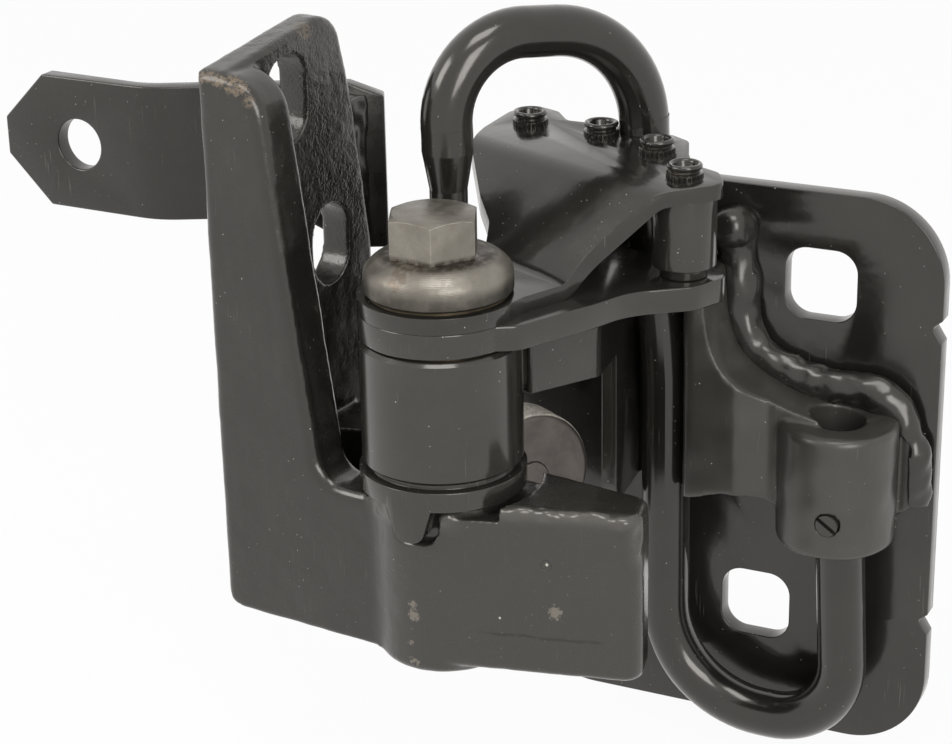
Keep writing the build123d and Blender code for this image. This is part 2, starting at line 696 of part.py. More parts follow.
# Door plate
def make_door_plate():
    points = [
        (PLATE_LEFT_X, PLATE_BOTTOM_Z),
        (PLATE_RIGHT_X, PLATE_BOTTOM_Z),
        (PLATE_RIGHT_X, PLATE_TOP_Z),
        (PLATE_LEFT_X, PLATE_TOP_Z),
    ]
    plate = upright(points, PLATE_FRONT_Y, PLATE_T, PLATE_CORNER_R)
    for x, z in ((UPPER_HOLE_X, UPPER_HOLE_Z), (LOWER_HOLE_X, LOWER_HOLE_Z)):
        plane = Plane((x, PLATE_FRONT_Y - 1, z), x_dir=(1, 0, 0), z_dir=(0, -1, 0))
        hole = plane * RectangleRounded(PLATE_HOLE, PLATE_HOLE, PLATE_HOLE_ROUND)
        plate -= extrude(hole, -(PLATE_T + 2))
    for z in NOTCH_ZS:
        notch = [
            (PLATE_RIGHT_X - NOTCH_DEPTH, z),
            (PLATE_RIGHT_X + 1, z - NOTCH_W),
            (PLATE_RIGHT_X + 1, z + NOTCH_W / 2),
        ]
        plate -= upright(notch, PLATE_FRONT_Y - 1, PLATE_T + 2, [NOTCH_ROOT_R, 0, 0])
    return plate


# Leaf cage
def cage_frame():
    """Frame whose X points from the pin across the leaf's step, with Z up."""
    return Rot(0, 0, CAGE_AZIMUTH)


def make_lower_leaf():
    points = [
        (1.0, 10.0),
        (14.0, -7.0),
        (19.4, -4.0),
        (28.0, 12.5),
        (32.0, 22.5),
        (43.5, 31.0),
        (47.6, 40.5),
        (38.0, 46.5),
        (22.0, 47.5),
        (15.8, 53.0),
        (15.8, PLATE_FRONT_Y),
        (-13.0, PLATE_FRONT_Y),
        (-14.0, 52.0),
        (0.6, 34.0),
    ]
    radii = [0, 0, 6.0, 40.0, 16.0, 6.0, 5.0, 6.0, 6.0, 5.0, 0, 0, 6.0, 12.0]
    leaf = slab(points, LEAF_BOTTOM_Z, LEAF_SEAM_Z, radii)
    leaf += disc(EYE_R, LEAF_BOTTOM_Z, LEAF_SEAM_Z)
    return leaf - disc(BUSH_R + BODY_FIT, LEAF_BOTTOM_Z - 1, LEAF_SEAM_Z + 1)


def upper_leaf_outline(z_low, z_high):
    points = [
        (2.0, 12.0),
        (15.5, -5.5),
        (17.2, 3.0),
        (24.0, 18.0),
        (36.5, 26.6),
        (43.8, 31.6),
        (47.9, 34.4),
        (44.4, 39.9),
        (37.4, 43.2),
        (34.6, 48.4),
        (31.8, 55.6),
        (27.0, 58.4),
        (12.0, 61.6),
        (0.5, 62.6),
        (-3.6, 67.4),
        (-9.6, 70.0),
        (-14.6, 66.0),
        (-16.0, 55.0),
        (-15.6, 47.6),
        (-8.0, 36.0),
        (-3.0, 30.0),
    ]
    radii = [0, 0, 5.0, 14.0, 14.0, 3.0, 2.5, 3.0, 3.0, 3.0, 3.5, 1.5, 8.0, 3.0, 3.0, 4.0, 4.0, 8.0, 5.0, 10.0, 4.0]
    return slab(points, z_low, z_high, radii) + disc(EYE_R, z_low, z_high)


def top_plate_z(x, y):
    """Height of the tilted top plate's upper face over a point in plan."""
    across = x * cos(radians(CAGE_AZIMUTH)) + y * sin(radians(CAGE_AZIMUTH))
    return TOP_PLATE_Z + (across - LEAF_STEP_END) * tan(radians(TOP_PLATE_TILT))


def make_upper_leaf():
    far = 90.0
    rise = far * tan(radians(TOP_PLATE_TILT)) - LEAF_STEP_END * tan(radians(TOP_PLATE_TILT))
    slope = atan2(TOP_PLATE_Z - LEAF_TOP_Z, LEAF_STEP_END - LEAF_STEP_START)
    lead = UPPER_LEAF_T * tan(slope / 2)
    lead_top = UPPER_LEAF_T * tan((slope - radians(TOP_PLATE_TILT)) / 2)
    underside = TOP_PLATE_Z - UPPER_LEAF_T
    profile = [
        (-30, LEAF_SEAM_Z),
        (LEAF_STEP_START + lead, LEAF_SEAM_Z),
        (LEAF_STEP_END + lead_top, underside + lead_top * tan(radians(TOP_PLATE_TILT))),
        (far, underside + rise),
        (far, TOP_PLATE_Z + rise),
        (LEAF_STEP_END, TOP_PLATE_Z),
        (LEAF_STEP_START, LEAF_TOP_Z),
        (-30, LEAF_TOP_Z),
    ]
    radii = [0, 7.0, 4.0, 0, 0, 7.0, 4.0, 0]
    sheet = cage_frame() * extrude(Plane.XZ * rounded_face(profile, radii), 60, both=True)
    leaf = sheet & upper_leaf_outline(LEAF_BOTTOM_Z, TOP_PLATE_Z + rise + 2)
    leaf -= disc(BUSH_R + BODY_FIT, LEAF_SEAM_Z - 1, LEAF_TOP_Z + 1)
    leaf -= rod_notch()
    for x, y in RIVET_XYS:
        leaf -= disc(RIVET_SHANK_R + BODY_FIT, LEAF_SEAM_Z, TOP_PLATE_Z + 10, x, y)
    return solid_of(leaf)


def rod_notch():
    """The slot in the top plate's back edge through which the rod rises."""
    width = ROD_R + FREE_GAP
    middle, depth = rod_place(TOP_PLATE_Z)
    notch = disc(width, LEAF_TOP_Z, TOP_PLATE_Z + 12, middle, depth)
    back = slab([
        (middle - width, depth),
        (middle + width, depth),
        (middle + width, depth + 12),
        (middle - width, depth + 12),
    ], LEAF_TOP_Z, TOP_PLATE_Z + 12)
    return notch + back


def make_eye_bush():
    barrel = disc(BUSH_R, LEAF_BOTTOM_Z, LEAF_TOP_Z)
    flange = disc(BUSH_FLANGE_R, LEAF_TOP_Z, LEAF_TOP_Z + BUSH_FLANGE_T)
    return barrel + flange - disc(PIN_R + RUNNING_FIT, LEAF_BOTTOM_Z - 1, LEAF_TOP_Z + 2)


def make_leaf_spacers():
    tubes = []
    for (x, y), radius in zip(RIVET_XYS, SPACER_RS):
        if radius > 0:
            tall = disc(radius, LEAF_SEAM_Z + SPACER_FOOT_H, TOP_PLATE_Z + 10, x, y)
            tall += disc(min(radius, SPACER_FOOT_R), LEAF_SEAM_Z, LEAF_SEAM_Z + SPACER_FOOT_H, x, y)
            tall -= disc(RIVET_SHANK_R + BODY_FIT, LEAF_SEAM_Z - 1, TOP_PLATE_Z + 11, x, y)
            tubes.append(solid_of(tall & under_top_plate()))
    return Compound(tubes)


def under_top_plate():
    """The space between the lower leaf and the tilted top plate."""
    near = -10.0
    far = 90.0
    lean = tan(radians(TOP_PLATE_TILT))
    low = TOP_PLATE_Z - UPPER_LEAF_T + (near - LEAF_STEP_END) * lean
    high = TOP_PLATE_Z - UPPER_LEAF_T + (far - LEAF_STEP_END) * lean
    wedge = [(near, LEAF_SEAM_Z), (far, LEAF_SEAM_Z), (far, high - FACE_GAP), (near, low - FACE_GAP)]
    return cage_frame() * extrude(Plane.XZ * rounded_face(wedge), 60, both=True)


def make_leaf_rivets():
    rivets = []
    for (x, y), spacer_r in zip(RIVET_XYS, SPACER_RS):
        top = top_plate_z(x, y)
        foot = LEAF_SEAM_Z + BODY_FIT if spacer_r > 0 else top - UPPER_LEAF_T - RIVET_CLENCH_H
        shank = disc(RIVET_SHANK_R, foot, top + 1, x, y)
        seat = RIVET_HEAD_R * tan(radians(TOP_PLATE_TILT)) + BODY_FIT
        head = disc(RIVET_HEAD_R, top + seat, top + RIVET_HEAD_H, x, y)
        head = fillet(head.edges().filter_by(GeomType.CIRCLE).sort_by(Axis.Z)[-1], 0.8)
        rivet = shank + head
        rivet -= disc(RIVET_CUP_R, top + RIVET_HEAD_H - RIVET_CUP_DEPTH, top + RIVET_HEAD_H + 1, x, y)
        rivets.append(solid_of(rivet))
    return Compound(rivets)


def make_leaf_web():
    """Upright wall from the leaf's front edge back to the plate, with the long lip of the groove."""
    wall = slab([
        (9.8, 21.5),
        (LIP_X + 3.7, 36.5),
        (LIP_X + 2.0, LIP_FRONT_Y),
        (LIP_X + 2.0 - WEB_T, LIP_FRONT_Y),
        (LIP_X + 3.7 - WEB_T - 1.5, 38.0),
        (9.8 - WEB_T, 24.4),
    ], WEB_BOTTOM_Z, LEAF_BOTTOM_Z, [1.0, 3.0, 0, 0, 3.0, 1.0])
    lip = slab([
        (LIP_X + 2.0, LIP_FRONT_Y),
        (LIP_X + 2.0 - LIP_LEAN, PLATE_FRONT_Y),
        (LIP_X + 2.0 - LIP_LEAN - LIP_T, PLATE_FRONT_Y),
        (LIP_X + 2.0 - LIP_T, LIP_FRONT_Y),
    ], LIP_BOTTOM_Z, LEAF_BOTTOM_Z)
    shape = side_outline([
        (LIP_FRONT_Y, LIP_BOTTOM_Z),
        (PLATE_FRONT_Y, LIP_BOTTOM_Z),
        (PLATE_FRONT_Y, LEAF_BOTTOM_Z),
        (LIP_FRONT_Y, LEAF_BOTTOM_Z),
    ], LIP_X - 2 * LIP_T, 4 * LIP_T, [LIP_CORNER_R, 0, 0, 0])
    return wall + (lip & shape)


# Torsion rod
def rod_place(z):
    """The long leg's place in plan at a height between its two gentle bends."""
    share = (z - ROD_MID_Z) / (ROD_HIGH_Z - ROD_MID_Z)
    x = ROD_MID_X + (ROD_HIGH_X - ROD_MID_X) * share
    y = ROD_Y + (ROD_HIGH_Y - ROD_Y) * share
    return x, y


def rod_route():
    """Corners of the rod's centre line and the bend radius at each."""
    span = sqrt((ROD_HIGH_X - ROLLER_X) ** 2 + (ROD_HIGH_Y - ROLLER_Y) ** 2)
    along = ((ROD_HIGH_X - ROLLER_X) / span, (ROD_HIGH_Y - ROLLER_Y) / span)
    left = (ROLLER_X - ARCH_LEFT_OUT * along[0], ROLLER_Y - ARCH_LEFT_OUT * along[1])
    right = (ROD_HIGH_X + ARCH_RIGHT_OUT * along[0], ROD_HIGH_Y + ARCH_RIGHT_OUT * along[1])
    corners = [
        (ROLLER_X, ROLLER_Y, SPIGOT_TOP_Z),
        (ROLLER_X, ROLLER_Y, SPIGOT_LEAN_Z),
        (left[0], left[1], ARCH_LEFT_Z),
        (right[0], right[1], ARCH_RIGHT_Z),
        (ROD_HIGH_X, ROD_HIGH_Y, ROD_HIGH_Z),
        (ROD_MID_X, ROD_Y, ROD_MID_Z),
        (ROD_LOW_X, ROD_Y, HOOK_BOTTOM_Z),
        (HOOK_RIGHT_X, ROD_Y, HOOK_BOTTOM_Z),
        (ROD_END_X, KNUCKLE_Y, ROD_END_Z),
    ]
    radii = [SPIGOT_LEAN_R, ARCH_LEFT_R, ARCH_RIGHT_R, ROD_HIGH_R, ROD_MID_R, HOOK_LEFT_R, HOOK_RIGHT_R]
    return corners, radii


def make_torsion_rod():
    corners, radii = rod_route()
    path = FilletPolyline(*corners, radius=radii)
    start = Plane(corners[0], z_dir=(0, 0, 1))
    rod = sweep(start * Circle(ROD_R), path)
    cone = Pos(ROLLER_X, ROLLER_Y, SPIGOT_TOP_Z - SPIGOT_CONE_H / 2) * Cone(SPIGOT_R, ROD_R, SPIGOT_CONE_H)
    spigot = disc(SPIGOT_R, SPIGOT_END_Z, SPIGOT_TOP_Z - SPIGOT_CONE_H, ROLLER_X, ROLLER_Y)
    spigot = chamfer(spigot.edges().filter_by(GeomType.CIRCLE).sort_by(Axis.Z)[0], 0.5)
    rod = rod + cone + spigot
    groove_top = ROLLER_BOTTOM_Z - FACE_GAP
    ring = disc(SPIGOT_R + 1, groove_top - CLIP_T, groove_top, ROLLER_X, ROLLER_Y)
    ring -= disc(SPIGOT_R - CLIP_GROOVE_DEPTH, groove_top - CLIP_T - 1, groove_top + 1, ROLLER_X, ROLLER_Y)
    rod -= ring
    rod -= cross_pin_blank(CROSS_PIN_R + BODY_FIT)
    return solid_of(rod)


def make_roller_clip():
    top = ROLLER_BOTTOM_Z - FACE_GAP
    clip = disc(CLIP_R, top - CLIP_T, top, ROLLER_X, ROLLER_Y)
    inner = SPIGOT_R - CLIP_GROOVE_DEPTH + BODY_FIT
    return clip - disc(inner, top - CLIP_T - 1, top + 1, ROLLER_X, ROLLER_Y)


# Check roller
def make_follower_roller():
    height = ROLLER_TOP_Z - ROLLER_BOTTOM_Z
    bore = SPIGOT_R + RUNNING_FIT + ROLLER_BUSH_WALL + BODY_FIT
    roller = disc(ROLLER_R, ROLLER_BOTTOM_Z, ROLLER_TOP_Z, ROLLER_X, ROLLER_Y)
    roller = chamfer(roller.edges().filter_by(GeomType.CIRCLE), ROLLER_CROWN)
    return roller - disc(bore, ROLLER_BOTTOM_Z - 1, ROLLER_BOTTOM_Z + height + 1, ROLLER_X, ROLLER_Y)


def make_roller_bush():
    outer = SPIGOT_R + RUNNING_FIT + ROLLER_BUSH_WALL
    bush = disc(outer, ROLLER_BOTTOM_Z, ROLLER_TOP_Z, ROLLER_X, ROLLER_Y)
    return bush - disc(SPIGOT_R + RUNNING_FIT, ROLLER_BOTTOM_Z - 1, ROLLER_TOP_Z + 1, ROLLER_X, ROLLER_Y)


# Console with the knuckle that holds the rod's end
def cross_pin_front():
    """Where the cross pin's end shows, a little proud of the knuckle's round front."""
    return KNUCKLE_Y - sqrt(KNUCKLE_R ** 2 - CROSS_PIN_OFF ** 2) - CROSS_PIN_PROUD


def cross_pin_blank(radius):
    front = cross_pin_front()
    length = PLATE_FRONT_Y - FREE_GAP - front
    plane = Plane((KNUCKLE_X + CROSS_PIN_OFF, front + length / 2, CROSS_PIN_Z), z_dir=(0, -1, 0))
    return plane * Cylinder(radius, length)


def knuckle_bore():
    """Bore in line with the rod's end, which leans a little."""
    corners, _ = rod_route()
    low = Vector(*corners[-2])
    high = Vector(*corners[-1])
    lean = Plane(high, z_dir=high - low)
    return lean * Cylinder(KNUCKLE_BORE_R, 2 * (KNUCKLE_TOP_Z - KNUCKLE_BOTTOM_Z))


def console_plan():
    """The console's outline seen from above: a block beside the rod, a valley and the rib."""
    points = [
        (CONSOLE_LEFT_X, PLATE_FRONT_Y),
        (CONSOLE_LEFT_X, CONSOLE_FRONT_Y),
        (CONSOLE_FRONT_X, CONSOLE_FRONT_Y),
        (CONSOLE_VALLEY_X, CONSOLE_VALLEY_Y),
        (KNUCKLE_X, CONSOLE_VALLEY_Y),
        (CONSOLE_RIB_X, CONSOLE_RIB_Y),
        (CONSOLE_RIGHT_X, CONSOLE_RIB_Y),
        (CONSOLE_RIGHT_X, PLATE_FRONT_Y),
    ]
    radii = [0, CONSOLE_FRONT_R, CONSOLE_VALLEY_R, 0, 0, 0, CONSOLE_RIB_R, 0]
    return slab(points, KNUCKLE_BOTTOM_Z, LEAF_BOTTOM_Z, radii)


def console_elevation():
    """The console's outline seen square to the plate, with the saddle that runs into the knuckle."""
    crest = Spline(
        (37.4, LEAF_BOTTOM_Z - 1),
        (38.3, 12.5),
        (39.6, 5.6),
        (42.2, -0.4),
        (47.0, -4.6),
        (53.6, -7.6),
        (KNUCKLE_X, KNUCKLE_TOP_Z + 0.6),
        (76.0, KNUCKLE_TOP_Z + 0.2),
    )
    foot = Spline(
        (81.9, -30.8),
        (79.6, -33.4),
        (73.0, -34.4),
        (61.4, -33.8),
        (52.0, CONSOLE_ARCH_Z - 1.2),
        (44.0, CONSOLE_ARCH_Z),
        (37.4, CONSOLE_ARCH_Z - 1.6),
        (CONSOLE_LEFT_X, CONSOLE_BOTTOM_Z),
    )
    right = Spline(crest @ 1, (79.8, -13.4), (81.8, -18.6), foot @ 0)
    left = Polyline(foot @ 1, (CONSOLE_LEFT_X, LEAF_BOTTOM_Z - 1), crest @ 0)
    face = make_face(crest + right + foot + left)
    front = Plane((0, CONSOLE_FRONT_Y - 2, 0), x_dir=(1, 0, 0), z_dir=(0, -1, 0))
    return extrude(front * face, -(PLATE_FRONT_Y - CONSOLE_FRONT_Y + 2))


def make_console():
    body = console_plan() & console_elevation()
    knuckle = disc(KNUCKLE_R, KNUCKLE_BOTTOM_Z, KNUCKLE_TOP_Z, KNUCKLE_X, KNUCKLE_Y)
    rims = knuckle.edges().filter_by(GeomType.CIRCLE)
    knuckle = fillet(rims, KNUCKLE_ROUND)
    in_front = upright([
        (CONSOLE_LEFT_X, KNUCKLE_BOTTOM_Z - 1),
        (PLATE_RIGHT_X, KNUCKLE_BOTTOM_Z - 1),
        (PLATE_RIGHT_X, KNUCKLE_TOP_Z + 1),
        (CONSOLE_LEFT_X, KNUCKLE_TOP_Z + 1),
    ], KNUCKLE_Y - KNUCKLE_R - 1, PLATE_FRONT_Y - KNUCKLE_Y + KNUCKLE_R + 1)
    console = body + (knuckle & in_front)
    console -= knuckle_bore()
    console -= cross_pin_blank(CROSS_PIN_R + BODY_FIT)
    return solid_of(console)


def make_cross_pin():
    pin = cross_pin_blank(CROSS_PIN_R)
    slot = Pos(KNUCKLE_X + CROSS_PIN_OFF, cross_pin_front(), CROSS_PIN_Z) * Rot(0, 35, 0) * Box(
        CROSS_PIN_R * 3, CROSS_PIN_SLOT_DEPTH * 2, CROSS_PIN_SLOT_W)
    return pin - slot


def make_console_weld(console, plate):
    """One bead laid along the console's upper edge, on the plate."""
    route = [(x, PLATE_FRONT_Y, z) for x, z in CONSOLE_WELD_XZS]
    path = Spline(*route)
    start = Plane(path @ 0, z_dir=path % 0)
    bead = sweep(start * Circle(CONSOLE_WELD_R), path)
    bead += Pos(*route[0]) * Sphere(CONSOLE_WELD_START_R)
    return solid_of(bead - console - plate)


def make_leaf_weld(leaf, plate):
    """Bead along the seam between the lower leaf's underside and the door plate."""
    bead = Cylinder(LEAF_WELD_R, LEAF_WELD_W, rotation=(0, 90, 0))
    bead = Pos(LEAF_WELD_X, PLATE_FRONT_Y, LEAF_BOTTOM_Z) * bead
    return solid_of(bead - leaf - plate)


def on_pillar(shape):
    return Pos(-FLANGE_X, -SLOT_MIDDLE_Y, -SLOT_MIDDLE_Z) * shape


def on_door(shape):
    return on_pillar(Rot(0, 0, DOOR_YAW) * shape)


def build():
    bracket = make_pillar_bracket()
    strap = make_stay_strap()
    plate = make_door_plate()
    lower_leaf = make_lower_leaf()
    console = make_console()
    pillar_parts = {
        "pillar_bracket": bracket,
        "stay_strap": strap,
        "strap_weld": make_strap_weld(strap, bracket),
        "hinge_pin": make_hinge_pin(),
        "lug_ring": make_lug_ring(),
        "cam_sleeve": make_cam_sleeve(),
        "thrust_washer": make_thrust_washer(),
        "stop_disc": make_stop_disc(),
        "stop_disc_stud": make_stop_disc_stud(),
    }
    door_parts = {
        "door_plate": plate,
        "lower_leaf": lower_leaf,
        "upper_leaf": make_upper_leaf(),
        "eye_bush": make_eye_bush(),
        "leaf_spacers": make_leaf_spacers(),
        "leaf_rivets": make_leaf_rivets(),
        "leaf_web": make_leaf_web(),
        "leaf_weld": make_leaf_weld(lower_leaf, plate),
        "console": console,
        "console_weld": make_console_weld(console, plate),
        "torsion_rod": make_torsion_rod(),
        "cross_pin": make_cross_pin(),
        "roller_clip": make_roller_clip(),
        "follower_roller": make_follower_roller(),
        "roller_bush": make_roller_bush(),
    }
    model = {name: on_pillar(shape) for name, shape in pillar_parts.items()}
    model.update({name: on_door(shape) for name, shape in door_parts.items()})
    return model


os.makedirs("parts", exist_ok=True)
for node, shape in build().items():
    export_step(shape, f"parts/{node}.step")
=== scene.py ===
from math import cos, pi, radians, sin

import bmesh
import bpy
import numpy as np
from mathutils import Matrix, Vector


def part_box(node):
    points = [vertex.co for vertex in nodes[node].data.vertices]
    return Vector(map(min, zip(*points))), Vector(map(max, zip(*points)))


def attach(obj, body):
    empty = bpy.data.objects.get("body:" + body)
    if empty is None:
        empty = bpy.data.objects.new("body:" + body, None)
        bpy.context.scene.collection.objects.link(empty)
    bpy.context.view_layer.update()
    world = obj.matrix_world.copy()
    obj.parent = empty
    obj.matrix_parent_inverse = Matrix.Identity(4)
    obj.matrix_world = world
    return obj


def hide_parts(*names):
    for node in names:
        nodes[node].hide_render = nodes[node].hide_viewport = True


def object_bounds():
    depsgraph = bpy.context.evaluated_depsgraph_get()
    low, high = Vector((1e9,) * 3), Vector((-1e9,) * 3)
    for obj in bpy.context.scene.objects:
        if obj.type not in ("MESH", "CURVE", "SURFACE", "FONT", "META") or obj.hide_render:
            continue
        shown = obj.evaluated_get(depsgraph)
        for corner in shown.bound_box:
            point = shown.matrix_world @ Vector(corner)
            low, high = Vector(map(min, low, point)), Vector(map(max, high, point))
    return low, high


# Looks of the car door hinge: black coated casting and sheet parts, bare steel pin, white studio.
# Lengths are metres, in the model's own frame, unless a name says otherwise.

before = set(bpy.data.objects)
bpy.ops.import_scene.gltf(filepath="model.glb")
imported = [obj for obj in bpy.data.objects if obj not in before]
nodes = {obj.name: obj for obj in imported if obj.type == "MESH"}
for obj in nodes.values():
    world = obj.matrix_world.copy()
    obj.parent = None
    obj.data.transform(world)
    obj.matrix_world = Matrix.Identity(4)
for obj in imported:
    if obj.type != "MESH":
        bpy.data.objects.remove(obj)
cad_low, cad_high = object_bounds()
scene = bpy.context.scene
MM = 0.001
PILLAR = "pillar"
DOOR = "door"
X = (1, 0, 0)
Y = (0, 1, 0)
Z = (0, 0, 1)
SAME_POINT = 0.002 * MM


# Places in the model's frame that the looks refer to
def middle_of(node):
    low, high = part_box(node)
    return (low + high) / 2


def mm(x, y, z):
    """A place given in millimetres."""
    return (x * MM, y * MM, z * MM)


PIN = middle_of("thrust_washer")
PIN_TOP_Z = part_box("hinge_pin")[1].z
RING_LOW_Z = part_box("lug_ring")[0].z
FLANGE_INNER_X = 7.5 * MM
FIN_FRONT_Y = PIN.y - 11.35 * MM
FIN_EDGE_Y = FIN_FRONT_Y + 0.8 * MM
FIN_DEPTH = 11 * MM
ARM_YAW = radians(19.5)
ARM_FRONT = 14.5 * MM
ARM_ROOT_S = 15.6 * MM
ARM_TIP_S = 42.6 * MM
ARM_TOP_Z = RING_LOW_Z + 8.2 * MM
NOTCH_Z = ARM_TOP_Z - 3.6 * MM
DISC_YAW = radians(65.2)
DISC_HALF_T = 4.75 * MM
HEX_FOOT_Z = PIN_TOP_Z - 8.4 * MM
SEAM_Y = PIN.y - 1.1 * MM
SEAM_LOW_Z = ARM_TOP_Z - 1.0 * MM
STRAP_END_Y = 28.4 * MM
ROD_BAND_PLACE = mm(14.9, 44.8, -1.4)
COLLAR_RUST_PLACE = (PIN.x - 0.3 * MM, PIN.y - 12.1 * MM, PIN_TOP_Z - 11.5 * MM)
DENT_PLACE = mm(78.3, -22.0, -65.8)
FAINT_LINE_START = mm(63.2, -27.4, -82.2)
FAINT_LINE_END_X = 94 * MM

# Colours
WHITE = (1.0, 1.0, 1.0)
COAT = (0.0115, 0.0110, 0.0098)
# Painted sheen: a paler copy of the coat for the gloss parts, standing in for their brighter reflections
COAT_PALER_SHEEN = (0.019, 0.0185, 0.0168)
# Painted sheen: a paler copy of the coat for the console, standing in for its brighter reflections
COAT_FORGED_SHEEN = (0.033, 0.032, 0.029)
# Painted sheen: a lighter coat for the arm's front, standing in for its brighter reflections
COAT_ARM_SHEEN = (0.034, 0.033, 0.030)
COAT_TORN = (0.09, 0.086, 0.078)
COAT_CRACK = (0.004, 0.004, 0.004)
DUST = (0.45, 0.43, 0.39)
BROWN = (0.150, 0.116, 0.080)
PALE_CHIP = (0.13, 0.117, 0.098)
SEAM_GREY = (0.34, 0.32, 0.29)
# Painted highlight: pale grey for the strap's end
PAINTED_HIGHLIGHT_GREY = (0.19, 0.184, 0.172)
GRIME = (0.045, 0.035, 0.026)
RIM_STAIN = (0.055, 0.050, 0.042)
DOME_RUST = (0.13, 0.095, 0.066)
SAND = (0.80, 0.75, 0.65)
WARM = (1.0, 0.955, 0.90)

# Marks on the arm's front face: place in millimetres, radius in millimetres, colour
CAST_MARKS = (
    ((80.0, -21.4, -76.3), 1.5, PALE_CHIP),
    ((51.7, -31.4, -77.5), 1.2, PALE_CHIP),
    ((51.9, -31.4, -80.0), 1.4, PALE_CHIP),
    ((51.1, -31.7, -83.0), 0.7, PALE_CHIP),
    ((51.0, -31.7, -86.5), 1.0, PALE_CHIP),
    ((51.6, -31.9, -90.7), 1.3, PALE_CHIP),
    ((45.9, -33.5, -85.6), 1.3, BROWN),
    ((45.7, -33.5, -88.4), 1.1, BROWN),
    ((50.1, -32.0, -67.7), 0.7, DUST),
    ((69.2, -25.3, -78.5), 0.3, DUST),
    ((78.5, -22.0, -65.6), 0.35, DUST),
)

# Worn brown patches on the top of the fin and of the flange: place, radius, strength
FIN_STAINS = (
    ((1.0 * MM, FIN_EDGE_Y, 26.6 * MM), 1.8 * MM, 0.95),
    ((3.6 * MM, FIN_EDGE_Y, 26.9 * MM), 1.6 * MM, 0.95),
    ((6.0 * MM, FIN_EDGE_Y, 26.4 * MM), 1.7 * MM, 0.95),
    ((8.6 * MM, FIN_EDGE_Y, 26.4 * MM), 2.1 * MM, 0.95),
    ((11.2 * MM, FIN_EDGE_Y, 25.6 * MM), 2.0 * MM, 0.9),
    ((13.2 * MM, FIN_EDGE_Y, 23.0 * MM), 1.6 * MM, 0.7),
    (mm(7.0, 0.3, 31.0), 2.6 * MM, 0.6),
)


